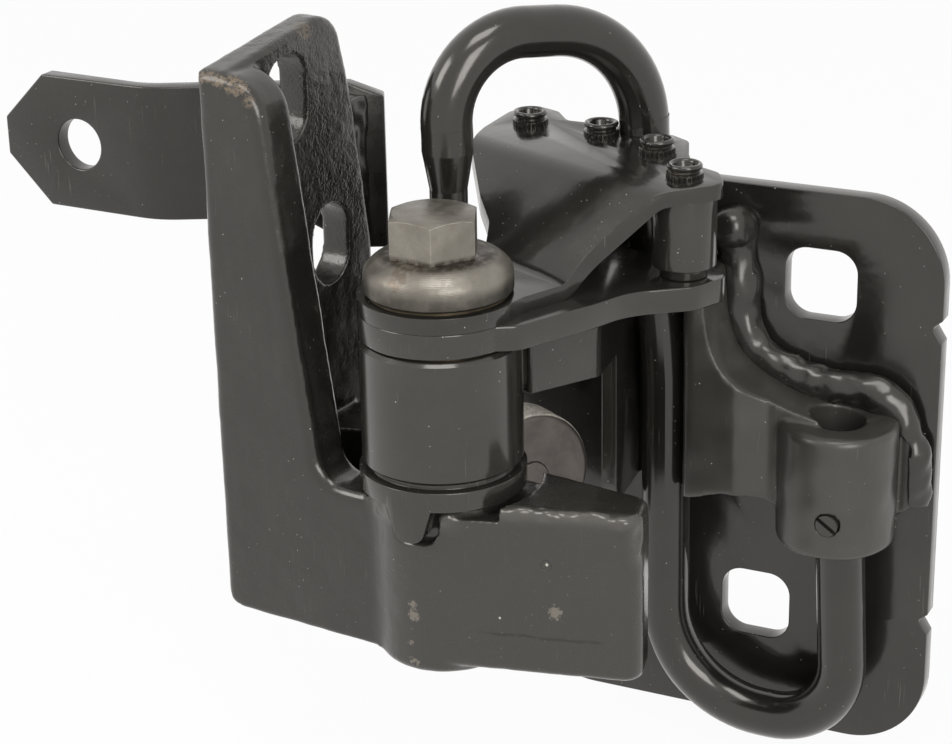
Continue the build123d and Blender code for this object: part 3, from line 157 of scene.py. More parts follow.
# Materials
class Graph:
    """A material's node tree, with short calls for the nodes used here."""

    def __init__(self, name):
        self.material = bpy.data.materials.new(name)
        self.material.use_nodes = True
        self.tree = self.material.node_tree
        self.tree.nodes.clear()
        self.output = self.node("ShaderNodeOutputMaterial")
        self.shader = self.node("ShaderNodeBsdfPrincipled")
        self.link(self.shader.outputs["BSDF"], self.output.inputs["Surface"])
        self.place = self.node("ShaderNodeTexCoord").outputs["Object"]
        self.matte = None

    def node(self, kind, **settings):
        made = self.tree.nodes.new(kind)
        for key, value in settings.items():
            setattr(made, key, value)
        return made

    def link(self, a, b):
        self.tree.links.new(a, b)

    def fill(self, socket, value):
        """Gives a socket a number or a colour, or links it to another socket."""
        if isinstance(value, (int, float)):
            socket.default_value = value
        elif isinstance(value, tuple):
            socket.default_value = (*value, 1.0)
        else:
            self.link(value, socket)

    def stretched(self, scale, turn=(0, 0, 0)):
        mapping = self.node("ShaderNodeMapping")
        mapping.inputs["Scale"].default_value = scale
        mapping.inputs["Rotation"].default_value = turn
        self.link(self.place, mapping.inputs["Vector"])
        return mapping.outputs["Vector"]

    def noise(self, feature, detail=3.0, rough=0.5, place=None, distortion=0.0):
        """Noise whose blobs are about `feature` metres wide."""
        made = self.node("ShaderNodeTexNoise")
        made.inputs["Scale"].default_value = 1.0 / feature
        made.inputs["Detail"].default_value = detail
        made.inputs["Roughness"].default_value = rough
        made.inputs["Distortion"].default_value = distortion
        self.link(place or self.place, made.inputs["Vector"])
        return made.outputs["Fac"]

    def waver(self, feature, detail, height):
        """Noise that swings about zero, `height` from lowest to highest."""
        return self.times(self.plus(self.noise(feature, detail), -0.5), height)

    def band(self, value, low, high, out_low=0.0, out_high=1.0):
        """A smooth step of a value between two limits."""
        made = self.node("ShaderNodeMapRange", interpolation_type="SMOOTHSTEP")
        made.inputs["From Min"].default_value = low
        made.inputs["From Max"].default_value = high
        made.inputs["To Min"].default_value = out_low
        made.inputs["To Max"].default_value = out_high
        self.link(value, made.inputs["Value"])
        return made.outputs["Result"]

    def maths(self, operation, a, b=0.0):
        made = self.node("ShaderNodeMath", operation=operation)
        self.fill(made.inputs[0], a)
        self.fill(made.inputs[1], b)
        return made.outputs["Value"]

    def times(self, a, b):
        return self.maths("MULTIPLY", a, b)

    def plus(self, a, b):
        return self.maths("ADD", a, b)

    def most(self, a, b):
        return self.maths("MAXIMUM", a, b)

    def size_of(self, a):
        return self.maths("ABSOLUTE", a)

    def along(self, direction, origin=(0.0, 0.0, 0.0)):
        """Distance of a point from a plane through an origin, along a direction."""
        moved = self.node("ShaderNodeVectorMath", operation="SUBTRACT")
        self.link(self.place, moved.inputs[0])
        moved.inputs[1].default_value = tuple(origin)
        dot = self.node("ShaderNodeVectorMath", operation="DOT_PRODUCT")
        self.link(moved.outputs["Vector"], dot.inputs[0])
        dot.inputs[1].default_value = tuple(direction)
        return dot.outputs["Value"]

    def distance(self, place):
        made = self.node("ShaderNodeVectorMath", operation="DISTANCE")
        self.link(self.place, made.inputs[0])
        made.inputs[1].default_value = tuple(place)
        return made.outputs["Value"]

    def near(self, place, radius, ragged=0.5):
        """A ragged round patch about a place."""
        away = self.distance(place)
        blur = self.times(self.plus(self.noise(radius * 0.5, 3.0, 0.6), -0.5), radius * 2 * ragged)
        return self.band(self.plus(away, blur), radius, radius * 0.72)

    def attribute(self, name):
        made = self.node("ShaderNodeAttribute", attribute_type="GEOMETRY", attribute_name=name)
        return made.outputs["Fac"]

    def colour(self, a, b, share):
        """Colour a turned into colour b by a mask."""
        made = self.node("ShaderNodeMix", data_type="RGBA")
        self.fill(made.inputs[6], a)
        self.fill(made.inputs[7], b)
        self.link(share, made.inputs[0])
        return made.outputs[2]

    def bump(self, height, depth, below=None):
        made = self.node("ShaderNodeBump")
        made.inputs["Strength"].default_value = 1.0
        made.inputs["Distance"].default_value = depth
        self.link(height, made.inputs["Height"])
        if below is not None:
            self.link(below, made.inputs["Normal"])
        return made.outputs["Normal"]

    def edges(self, radius):
        """A mask that is high where the surface turns a corner."""
        bevel = self.node("ShaderNodeBevel", samples=6)
        bevel.inputs["Radius"].default_value = radius
        geometry = self.node("ShaderNodeNewGeometry")
        dot = self.node("ShaderNodeVectorMath", operation="DOT_PRODUCT")
        self.link(bevel.outputs["Normal"], dot.inputs[0])
        self.link(geometry.outputs["Normal"], dot.inputs[1])
        return self.band(dot.outputs["Value"], 0.985, 0.80)

    def set(self, **inputs):
        """Sets the shader's own sockets, named with _ for each space."""
        for key, value in inputs.items():
            self.fill(self.shader.inputs[key.replace("_", " ")], value)


def specks(g, size, share, radius):
    """Dust: small dots, one in some of the cells."""
    cells = g.node("ShaderNodeTexVoronoi")
    cells.inputs["Scale"].default_value = 1.0 / size
    g.link(g.place, cells.inputs["Vector"])
    chosen = g.node("ShaderNodeSeparateColor")
    g.link(cells.outputs["Color"], chosen.inputs["Color"])
    dot = g.band(cells.outputs["Distance"], radius * 1.5, radius * 0.6)
    return g.times(dot, g.band(chosen.outputs["Red"], 1.0 - share, 1.0 - share + 0.02))


def scratches(g, turn, strength):
    """Thin pale rubs that run one way."""
    place = g.stretched((1, 1, 0.04), turn)
    line = g.noise(0.6 * MM, 2.0, 0.6, place)
    patch = g.band(g.noise(14 * MM, 2.0), 0.52, 0.68)
    return g.times(g.times(g.band(line, 0.66, 0.72), patch), strength)


def paint(name, rough, peel, peel_depth, wave_depth, wear, dust, rub,
          stains=(), base=COAT, coat=0.45, extra=None):
    """Black coating: orange peel, haze, dust, rubs, worn edges and brown stains at given places.

    The sizes peel, peel_depth and wave_depth are in millimetres.
    """
    g = Graph(name)
    worn = g.times(g.edges(0.6 * MM), g.band(g.noise(3.5 * MM, 4.0, 0.7), 0.50, 0.68, 0.0, wear))
    crowds = g.band(g.noise(18 * MM, 2.0), 0.45, 0.6)
    dots = g.plus(specks(g, 3.2 * MM, 0.45, 0.038), g.times(specks(g, 1.2 * MM, 0.30, 0.075), crowds))
    lines = g.plus(scratches(g, (0.3, 1.2, 0.2), rub), scratches(g, (1.4, 0.2, 0.9), rub * 0.7))
    haze = g.band(g.noise(22 * MM, 4.0, 0.6), 0.35, 0.75, 0.0, 0.5)
    light = tuple(c * 1.7 + 0.003 for c in base)
    tone = g.colour(base, light, haze)
    for place, radius, strength in stains:
        grains = g.band(g.noise(0.8 * MM, 4.0, 0.75), 0.42, 0.56, 0.0, strength)
        worn = g.most(worn, g.times(g.near(place, radius, 0.9), grains))
    tone = g.colour(tone, BROWN, worn)
    tone = g.colour(tone, DUST, g.times(g.plus(dots, lines), dust))
    patchy = g.band(g.noise(9 * MM, 4.0, 0.6), 0.3, 0.7, rough[0], rough[1])
    relief = g.bump(g.noise(peel * MM, 2.5, 0.5), peel_depth * MM)
    relief = g.bump(g.noise(peel * MM * 6, 2.0, 0.45), wave_depth * MM, relief)
    relief = g.bump(dots, 0.05 * MM, relief)
    if extra is not None:
        tone, relief = extra(g, tone, relief)
    g.set(Base_Color=tone, Roughness=g.plus(patchy, g.times(g.plus(dots, worn), 0.3)), Normal=relief)
    g.set(Coat_Weight=coat, Coat_Roughness=rough[0] * 0.7, Specular_Tint=WARM, Coat_Tint=WARM)
    return g.material


def steel(name, base, dark, rust, rough, turned_marks=0.0, rust_share=0.35, extra=None):
    """Bare steel: blotches, rust spots, bright edges and, where turned, fine rings."""
    g = Graph(name)
    blotch = g.band(g.noise(7 * MM, 4.0, 0.6), 0.30, 0.72)
    spots = g.band(g.noise(2.2 * MM, 4.0, 0.7, distortion=0.4), 0.60, 0.74, 0.0, rust_share)
    bright = g.times(g.edges(0.4 * MM), g.band(g.noise(2.0 * MM, 3.0), 0.30, 0.55))
    tone = g.colour(dark, base, blotch)
    tone = g.colour(tone, rust, spots)
    tone = g.colour(tone, tuple(min(1.0, c * 2.2) for c in base), g.times(bright, 0.9))
    relief = g.bump(g.noise(0.35 * MM, 3.0, 0.6), 0.015 * MM)
    relief = g.bump(g.noise(1.6 * MM, 3.0, 0.55), 0.05 * MM, relief)
    if turned_marks > 0:
        rings = g.node("ShaderNodeTexWave", wave_type="BANDS", bands_direction="Z")
        rings.inputs["Scale"].default_value = 1.0 / (0.9 * MM)
        rings.inputs["Distortion"].default_value = 1.2
        g.link(g.place, rings.inputs["Vector"])
        relief = g.bump(rings.outputs["Fac"], turned_marks, relief)
    if extra is not None:
        tone, relief = extra(g, tone, relief)
    uneven = g.band(g.noise(3 * MM, 4.0, 0.6), 0.3, 0.7, rough[0], rough[1])
    metallic = g.band(spots, 0.0, 0.4, 0.85, 0.15)
    if g.matte is not None:
        metallic = g.times(metallic, g.plus(1.0, g.times(g.matte, -1.0)))
    g.set(Base_Color=tone, Metallic=metallic, Roughness=uneven, Normal=relief)
    return g.material


def seam_mask(g):
    """A hairline along the fin's far edge, from the flange to just before the boss."""
    across = g.size_of(g.plus(g.plus(g.along(Y), -SEAM_Y), g.waver(30 * MM, 1.0, 0.25 * MM)))
    seam = g.band(across, 0.13 * MM, 0.06 * MM)
    seam = g.times(seam, g.band(g.along(Z), SEAM_LOW_Z, SEAM_LOW_Z + MM))
    seam = g.times(seam, g.band(g.along(X), FLANGE_INNER_X + MM, FLANGE_INNER_X + 2 * MM))
    seam = g.times(seam, g.band(g.along(X), PIN.x - 17 * MM, PIN.x - 18 * MM))
    return g.times(seam, g.band(g.noise(2.5 * MM, 3.0), 0.30, 0.42))


def faint_line_mask(g):
    """A thin dark line that runs to the right, low on the arm's front face."""
    height = g.plus(g.along(Z, FAINT_LINE_START), g.waver(9 * MM, 3.0, 2.2 * MM))
    line = g.band(g.size_of(height), 0.5 * MM, 0.1 * MM)
    line = g.times(line, g.band(g.along(X), FAINT_LINE_START[0], FAINT_LINE_START[0] + 6 * MM))
    line = g.times(line, g.band(g.along(X), FAINT_LINE_END_X, FAINT_LINE_END_X - 4 * MM))
    return g.times(line, g.band(g.noise(5 * MM, 2.0), 0.35, 0.5))


def cast_marks(g, tone, relief):
    """The seam, the arm's painted sheen, chips and dent, the flange's grain and the paler torn rim."""
    tone = g.colour(tone, SEAM_GREY, seam_mask(g))
    # Painted sheen: the coat turns lighter from the pin rightwards, over the arm
    arm_sheen = g.times(g.band(g.along(X), PIN.x - 12 * MM, PIN.x + 4 * MM), 0.6)
    tone = g.colour(tone, COAT_ARM_SHEEN, arm_sheen)
    for place, radius, shade in CAST_MARKS:
        tone = g.colour(tone, shade, g.near(mm(*place), radius * MM, 1.3))
    tone = g.colour(tone, COAT_CRACK, g.times(faint_line_mask(g), 0.8))
    grain = g.times(g.noise(0.7 * MM, 2.0, 0.5), g.attribute("grain"))
    relief = g.bump(grain, 0.20 * MM, relief)
    relief = g.bump(g.near(DENT_PLACE, 1.3 * MM, 0.3), -0.4 * MM, relief)
    tone = g.colour(tone, COAT_TORN, g.times(g.attribute("rim"), 0.6))
    return tone, relief


def collar_marks(g, tone, relief):
    """Grime round the hexagon's foot, a rusty patch on the dome and a dark, stained rim."""
    height = g.along(Z, (0, 0, HEX_FOOT_Z))
    foot = g.times(g.band(height, -0.9 * MM, -0.1 * MM), g.band(height, 1.2 * MM, 0.2 * MM))
    foot = g.times(foot, g.band(g.noise(1.5 * MM, 3.0), 0.3, 0.6, 0.3, 0.9))
    rim = g.band(height, -3.4 * MM, -6.2 * MM, 0.0, 0.85)
    rim = g.times(rim, g.band(g.noise(4 * MM, 3.0), 0.25, 0.6, 0.5, 1.0))
    tone = g.colour(tone, GRIME, foot)
    tone = g.colour(tone, RIM_STAIN, rim)
    tone = g.colour(tone, DOME_RUST, g.times(g.near(COLLAR_RUST_PLACE, 3.2 * MM, 0.9), 0.6))
    return tone, relief


def disc_marks(g, tone, relief):
    """The face is dark brown; the round edge is bright and sandy."""
    out = (sin(DISC_YAW), -cos(DISC_YAW), 0.0)
    depth = g.size_of(g.along(out, middle_of("stop_disc")))
    rim = g.band(depth, DISC_HALF_T - 0.25 * MM, DISC_HALF_T - 0.75 * MM)
    g.matte = rim
    sand = g.noise(0.8 * MM, 4.0, 0.7)
    tone = g.colour(tone, SAND, g.times(rim, g.band(sand, 0.32, 0.58, 0.35, 1.0)))
    relief = g.bump(g.times(sand, rim), 0.25 * MM, relief)
    return tone, relief


def strap_end_highlight(g, tone, relief):
    """The strap's sheared end, beyond the flange, is painted paler and streaked, as a painted highlight for
    its bright faces.
    """
    end = g.plus(g.along(Y), g.waver(4 * MM, 2.0, 1.6 * MM))
    end = g.band(end, STRAP_END_Y, STRAP_END_Y + 0.5 * MM)
    end = g.times(end, g.band(g.along(X), 2 * MM, 3 * MM))
    streak = g.noise(0.7 * MM, 3.0, 0.6, g.stretched((1, 1, 0.08)))
    # Painted highlight: pale streaked grey over the strap's end
    tone = g.colour(tone, PAINTED_HIGHLIGHT_GREY, g.times(end, g.band(streak, 0.3, 0.6, 0.55, 1.0)))
    return tone, relief


def rod_marks(g, tone, relief):
    """A shallow pressed band round the roller's leg, where the rod was held for bending."""
    leg = g.band(g.distance(ROD_BAND_PLACE), 13 * MM, 11 * MM)
    height = g.size_of(g.along(Z, ROD_BAND_PLACE))
    band = g.times(leg, g.band(height, 0.45 * MM, 0.15 * MM))
    relief = g.bump(band, -0.35 * MM, relief)
    return tone, relief


# Each paint: roughness from and to, orange peel and wave sizes, wear, dust, rubs
cast_paint = paint("cast_paint", (0.20, 0.32), 1.1, 0.035, 0.14, wear=0.45, dust=1.0, rub=0.08,
                   stains=FIN_STAINS, extra=cast_marks)
strap_paint = paint("strap_paint", (0.24, 0.36), 0.8, 0.02, 0.10, wear=0.5, dust=0.8, rub=0.2,
                    coat=0.3, extra=strap_end_highlight)
sheet_paint = paint("sheet_paint", (0.14, 0.24), 0.9, 0.012, 0.10, wear=0.35, dust=1.0, rub=0.15)
# Painted sheen: the gloss parts' coat is a paler copy of the black coat
gloss_sheen_paint = paint("gloss_sheen_paint", (0.14, 0.22), 1.0, 0.010, 0.08, wear=0.25, dust=1.0, rub=0.1,
                    base=COAT_PALER_SHEEN)
# Painted sheen: the console's coat is a paler copy of the black coat
forged_sheen_paint = paint("forged_sheen_paint", (0.30, 0.42), 1.0, 0.015, 0.10, wear=0.3, dust=1.0, rub=0.2,
                     coat=0.3, base=COAT_FORGED_SHEEN)
rod_paint = paint("rod_paint", (0.15, 0.22), 1.2, 0.008, 0.05, wear=0.2, dust=0.8, rub=0.1, extra=rod_marks)
weld_paint = paint("weld_paint", (0.22, 0.32), 1.4, 0.012, 0.06, wear=0.4, dust=1.0, rub=0.0)
rivet_paint = paint("rivet_paint", (0.16, 0.26), 0.6, 0.02, 0.05, wear=0.8, dust=1.0, rub=0.0)

# Each metal: colour, darker colour, rust colour, roughness from and to
pin_steel = steel("pin_steel", (0.260, 0.240, 0.205), (0.185, 0.168, 0.142), (0.15, 0.085, 0.045),
                  (0.33, 0.46), 0.012 * MM, 0.3, collar_marks)
clip_steel = steel("clip_steel", (0.30, 0.275, 0.235), (0.20, 0.185, 0.155), (0.17, 0.09, 0.045),
                   (0.30, 0.42))
disc_steel = steel("disc_steel", (0.150, 0.132, 0.120), (0.105, 0.092, 0.083), (0.12, 0.08, 0.055),
                   (0.34, 0.50), extra=disc_marks)
bush_metal = steel("bush_metal", (0.10, 0.078, 0.05), (0.06, 0.048, 0.032), (0.07, 0.045, 0.03),
                   (0.35, 0.5))

FINISHES = {
    "pillar_bracket": cast_paint,
    "stay_strap": strap_paint,
    "strap_weld": weld_paint,
    "hinge_pin": pin_steel,
    "lug_ring": gloss_sheen_paint,
    "cam_sleeve": gloss_sheen_paint,
    "thrust_washer": bush_metal,
    "stop_disc": disc_steel,
    "stop_disc_stud": disc_steel,
    "door_plate": sheet_paint,
    "lower_leaf": gloss_sheen_paint,
    "upper_leaf": sheet_paint,
    "eye_bush": bush_metal,
    "leaf_spacers": gloss_sheen_paint,
    "leaf_rivets": rivet_paint,
    "leaf_web": gloss_sheen_paint,
    "leaf_weld": weld_paint,
    "console": forged_sheen_paint,
    "console_weld": weld_paint,
    "torsion_rod": rod_paint,
    "cross_pin": gloss_sheen_paint,
    "roller_clip": clip_steel,
    "follower_roller": clip_steel,
    "roller_bush": bush_metal,
}

for node_name, material in FINISHES.items():
    nodes[node_name].data.materials.clear()
    nodes[node_name].data.materials.append(material)


# Pieces made from the nodes' own shapes
def add_object(name, data):
    obj = bpy.data.objects.new(name, data)
    scene.collection.objects.link(obj)
    return obj


def merged(mesh):
    """The mesh opened for editing, its doubled points merged."""
    work = bmesh.new()
    work.from_mesh(mesh)
    bmesh.ops.remove_doubles(work, verts=work.verts, dist=SAME_POINT)
    return work


def close_edit(work, mesh):
    work.to_mesh(mesh)
    work.free()


def copy_of(node, name):
    """A new object with the node's mesh, its doubled points merged."""
    mesh = nodes[node].data.copy()
    mesh.name = name
    close_edit(merged(mesh), mesh)
    if "custom_normal" in mesh.attributes:
        mesh.attributes.remove(mesh.attributes["custom_normal"])
    return add_object(name, mesh)


def apply_modifiers(obj):
    """Turns the object's modifiers into its mesh."""
    graph = bpy.context.evaluated_depsgraph_get()
    graph.update()
    mesh = bpy.data.meshes.new_from_object(obj.evaluated_get(graph))
    obj.modifiers.clear()
    old = obj.data
    obj.data = mesh
    mesh.name = obj.name
    bpy.data.meshes.remove(old)


def points_of(mesh, field="co"):
    flat = np.zeros(len(mesh.vertices) * 3)
    mesh.vertices.foreach_get(field, flat)
    return flat.reshape(-1, 3)


def move_points(mesh, places):
    """Sets the mesh's points, and keeps them inside the whole model's box."""
    places = np.clip(places, np.array(cad_low), np.array(cad_high))
    mesh.vertices.foreach_set("co", places.ravel())
    mesh.update()


def raise_surface(obj, heights):
    """Moves each point along its normal."""
    move_points(obj.data, points_of(obj.data) + points_of(obj.data, "normal") * heights[:, None])


WAVES = 40


def lumps(points, size, seed):
    """Smooth random heights, about 1 high, with lumps about `size` wide."""
    draw = np.random.default_rng(seed)
    total = np.zeros(len(points))
    for _ in range(WAVES):
        direction = draw.normal(size=3)
        direction /= np.linalg.norm(direction)
        pace = 2 * pi / (size * draw.uniform(1.0, 2.2))
        total += np.sin(points @ direction * pace + draw.uniform(0, 2 * pi))
    return total / np.sqrt(WAVES / 2)


def ramp(values, start, length):
    """0 before the start, 1 from the start plus the length on."""
    return np.clip((values - start) / length, 0, 1)


def set_mask(obj, name, values):
    layer = obj.data.attributes.new(name, "FLOAT", "POINT")
    layer.data.foreach_set("value", values.astype(np.float32))


def put_on(obj, node, body, sharp_angle=None):
    """Colours the piece, hides the node that it stands for, and sets it on its body."""
    obj.data.materials.clear()
    obj.data.materials.append(FINISHES[node])
    for polygon in obj.data.polygons:
        polygon.material_index = 0
    obj.data.shade_smooth()
    if sharp_angle is not None:
        obj.data.set_sharp_from_angle(angle=sharp_angle)
    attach(obj, body)
    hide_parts(node)


def soft_copy(node, name, voxel, rounds):
    """The node's shape, cut into small cells, with its edges rounded as casting or weld metal has them."""
    obj = copy_of(node, name)
    cells = obj.modifiers.new("cells", "REMESH")
    cells.mode = "VOXEL"
    cells.voxel_size = voxel
    soft = obj.modifiers.new("soft", "SMOOTH")
    soft.factor = 0.5
    soft.iterations = rounds
    apply_modifiers(obj)
    return obj


FLAT_ANGLE = radians(0.8)
BEVEL_FROM_ANGLE = radians(32)
SHARP_FROM_ANGLE = radians(40)


def make_edged(node, name, body, width):
    """The node's shape with its sharp edges rounded, for pressed and turned pieces."""
    obj = copy_of(node, name)
    work = bmesh.new()
    work.from_mesh(obj.data)
    bmesh.ops.dissolve_limit(work, angle_limit=FLAT_ANGLE, verts=work.verts, edges=work.edges)
    close_edit(work, obj.data)
    edge = obj.modifiers.new("edge", "BEVEL")
    edge.width = width
    edge.segments = 3
    edge.limit_method = "ANGLE"
    edge.angle_limit = BEVEL_FROM_ANGLE
    edge.use_clamp_overlap = True
    edge.miter_outer = "MITER_ARC"
    edge.harden_normals = False
    apply_modifiers(obj)
    put_on(obj, node, body, SHARP_FROM_ANGLE)


def near_run(points, start, end, width):
    """1 on a straight run between two places, fading out over a width."""
    start, end = np.array(start), np.array(end)
    run = end - start
    share = np.clip((points - start) @ run / (run @ run), 0.0, 1.0)
    away = np.linalg.norm(points - start - share[:, None] * run, axis=1)
    return np.exp(-(away / width) ** 2)


def on_arm(s, t, drop):
    """A place on the arm: s along its front face from the pin, t behind that face, a drop below its top."""
    front = -ARM_FRONT + t
    x = s * cos(ARM_YAW) - front * sin(ARM_YAW)
    y = s * sin(ARM_YAW) + front * cos(ARM_YAW)
    return (PIN.x + x, PIN.y + y, ARM_TOP_Z - drop)


RIM_BEHIND = 0.2 * MM
RIM_DROP = 0.7 * MM
RIM_WIDTH = 1.5 * MM
CORNER_BEHIND = 0.6 * MM
CORNER_DROP = 9 * MM
NOTCH_WIDTH = 1.3 * MM
NOTCH_HEIGHT = 2.2 * MM


def torn_mask(points):
    """Where the casting is torn: the arm's top front edge, its far corner and the lug's notch."""
    rim = near_run(points, on_arm(ARM_ROOT_S, RIM_BEHIND, RIM_DROP),
                   on_arm(ARM_TIP_S, RIM_BEHIND, RIM_DROP), RIM_WIDTH)
    corner = near_run(points, on_arm(ARM_TIP_S + CORNER_BEHIND, CORNER_BEHIND, CORNER_DROP),
                      on_arm(ARM_TIP_S, CORNER_BEHIND, 0.0), RIM_WIDTH)
    aside = np.hypot(points[:, 0] - PIN.x, points[:, 1] - PIN.y)
    notch = np.exp(-((aside - ARM_FRONT) / NOTCH_WIDTH) ** 2)
    notch *= np.exp(-((points[:, 2] - NOTCH_Z) / NOTCH_HEIGHT) ** 2)
    notch *= points[:, 1] < PIN.y - 6 * MM
    return np.clip(np.maximum(rim, np.maximum(0.7 * corner, 0.8 * notch)), 0, 1)


def inner_face_mask(points):
    """Where the flange's inner face is: rough above, calmer below."""
    inner = 1 - ramp(points[:, 0], FLANGE_INNER_X + 0.4 * MM, 0.8 * MM)
    inner *= ramp(points[:, 0], 0.6 * MM, 1.0 * MM)
    inner *= ramp(points[:, 1], FIN_FRONT_Y + FIN_DEPTH, 4 * MM)
    return inner * (0.25 + 0.75 * ramp(points[:, 2], -30 * MM, 30 * MM))


def make_cast_body():
    """The casting: rounded edges, a wavy cast skin, and a torn, lumpy rim along the arm's machined top."""
    obj = soft_copy("pillar_bracket", "cast_body", 0.5 * MM, 3)
    points = points_of(obj.data)
    torn = torn_mask(points)
    inner = inner_face_mask(points)
    heights = 0.035 * MM * lumps(points, 8 * MM, 3) + 0.015 * MM * lumps(points, 2.4 * MM, 5)
    heights += torn * (0.55 * MM + 0.30 * MM * lumps(points, 3.4 * MM, 7))
    heights += inner * 0.018 * MM * lumps(points, 1.6 * MM, 11)
    raise_surface(obj, heights * ramp(points[:, 0], 0.0, 0.5 * MM))
    set_mask(obj, "grain", 0.12 + 0.88 * inner)
    set_mask(obj, "rim", torn)
    fewer = obj.modifiers.new("fewer", "DECIMATE")
    fewer.ratio = 0.45
    apply_modifiers(obj)
    put_on(obj, "pillar_bracket", PILLAR)


def make_weld(node, name, body, swell, ripple, seed, shift=None, drops=()):
    """A weld bead: lumps along it, soft ripples and, at given places, the swelling of a drop."""
    obj = soft_copy(node, name, 0.35 * MM, 9)
    points = points_of(obj.data)
    heights = swell * (0.6 + lumps(points, 9 * MM, seed)) + ripple * lumps(points, 3.2 * MM, seed + 1)
    for place, radius, height in drops:
        heights += height * np.exp(-(np.linalg.norm(points - np.array(place), axis=1) / radius) ** 4)
    raise_surface(obj, heights)
    if shift is not None:
        places = points_of(obj.data)
        move_points(obj.data, places + shift(places))
    put_on(obj, node, body)


CONSOLE_DROPS = (
    (mm(80.5, 53.0, -15.0), 4.6 * MM, 1.5 * MM),
    (mm(83.5, 53.5, -26.5), 4.6 * MM, 1.0 * MM),
)
SETTLE_MOVE = mm(0.25, -2.0, -2.6)


def settle(places):
    """Sets the middle of the console's bead down on the console's back edge."""
    low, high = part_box("console_weld")
    depth = (high.z - places[:, 2]) / (high.z - low.z)
    share = ramp(depth, 0.12, 0.3) * (1 - ramp(depth, 0.8, 0.35))
    return share[:, None] * np.array(SETTLE_MOVE)


def make_console_body():
    """The console: a forged block with soft edges and a slightly wavy skin."""
    obj = soft_copy("console", "console_body", 0.45 * MM, 5)
    raise_surface(obj, 0.08 * MM * lumps(points_of(obj.data), 7 * MM, 21) - 0.05 * MM)
    put_on(obj, "console", DOOR)


def loose_parts(node):
    """The centre and the lowest and highest z of each loose part of a node, by x."""
    work = merged(nodes[node].data)
    left = set(work.verts)
    parts = []
    while left:
        todo = [left.pop()]
        found = []
        while todo:
            point = todo.pop()
            found.append(point.co.copy())
            for line in point.link_edges:
                other = line.other_vert(point)
                if other in left:
                    left.remove(other)
                    todo.append(other)
        spots = np.array(found)
        low, high = spots.min(axis=0), spots.max(axis=0)
        parts.append(((low + high) / 2, low[2], high[2]))
    work.free()
    return sorted(parts, key=lambda part: part[0][0])


# Each rivet's outline in millimetres: radius, height over its lowest or highest point, knurled or not
RIVET_LOWER = (
    (0.0, 0.0, 0), (3.2, 0.0, 0), (3.55, 0.3, 0), (3.55, 1.2, 0), (3.3, 1.5, 0), (2.95, 1.55, 0),
)
RIVET_UPPER = (
    (2.95, -3.3, 0), (3.55, -3.3, 0), (3.80, -3.1, 1), (3.80, -2.0, 1), (3.55, -1.85, 0),
    (3.20, -1.75, 0), (3.20, -1.35, 0), (3.45, -1.15, 0), (3.68, -0.85, 0), (3.72, -0.50, 0),
    (3.55, -0.16, 0), (3.20, -0.02, 0), (2.85, -0.06, 0), (2.55, -0.28, 0), (2.38, -0.65, 0),
    (2.30, -1.60, 0), (2.05, -1.85, 0), (0.0, -1.90, 0),
)
RIVET_SEGMENTS = 96
RIVET_TEETH = 24
RIVET_TOOTH_MM = 0.06
RIVET_UNROUND_MM = 0.04
RIVET_TILT_MM = 0.05
RIVET_SHARP_ANGLE = radians(50)


def make_rivets():
    """The four clenched rivets: a knurled collar, a groove and a rolled lip round a hollow."""
    verts, faces = [], []
    for part, (centre, low_z, high_z) in enumerate(loose_parts("leaf_rivets")):
        profile = [(r, low_z / MM + z, knurl) for r, z, knurl in RIVET_LOWER]
        profile += [(r, high_z / MM + z, knurl) for r, z, knurl in RIVET_UPPER]
        first = len(verts)
        for r, z, knurl in profile:
            for step in range(RIVET_SEGMENTS):
                turn = 2 * pi * step / RIVET_SEGMENTS
                wave = RIVET_TOOTH_MM * knurl * sin(RIVET_TEETH * turn)
                wave += RIVET_UNROUND_MM * sin(3 * turn + part) * (r > 3)
                x, y = (r + wave) * cos(turn), (r + wave) * sin(turn)
                lift = RIVET_TILT_MM * sin(2 * turn + part)
                verts.append((centre[0] + x * MM, centre[1] + y * MM, (z + lift) * MM))
        for ring in range(len(profile) - 1):
            for step in range(RIVET_SEGMENTS):
                a = first + ring * RIVET_SEGMENTS + step
                b = first + ring * RIVET_SEGMENTS + (step + 1) % RIVET_SEGMENTS
                faces.append((a, b, b + RIVET_SEGMENTS, a + RIVET_SEGMENTS))
    mesh = bpy.data.meshes.new("rivet_heads")
    mesh.from_pydata(verts, [], faces)
    work = merged(mesh)
    bmesh.ops.recalc_face_normals(work, faces=work.faces)
    close_edit(work, mesh)
    put_on(add_object("rivet_heads", mesh), "leaf_rivets", DOOR, RIVET_SHARP_ANGLE)


make_rivets()
make_cast_body()
make_weld("strap_weld", "strap_weld_bead", PILLAR, 0.25 * MM, 0.10 * MM, 31)
make_weld("console_weld", "console_weld_bead", DOOR, 0.30 * MM, 0.13 * MM, 41,
          settle, CONSOLE_DROPS)
make_weld("leaf_weld", "leaf_weld_bead", DOOR, 0.20 * MM, 0.06 * MM, 51)
make_console_body()
make_edged("door_plate", "plate_pressing", DOOR, 0.3 * MM)
make_edged("stay_strap", "strap_pressing", PILLAR, 0.5 * MM)
make_edged("lower_leaf", "lower_leaf_pressing", DOOR, 0.35 * MM)
make_edged("upper_leaf", "upper_leaf_pressing", DOOR, 0.35 * MM)
make_edged("leaf_web", "web_pressing", DOOR, 0.25 * MM)
make_edged("leaf_spacers", "spacer_tubes", DOOR, 0.4 * MM)
make_edged("lug_ring", "keyed_ring", PILLAR, 0.4 * MM)
make_edged("hinge_pin", "pin_forging", PILLAR, 0.3 * MM)

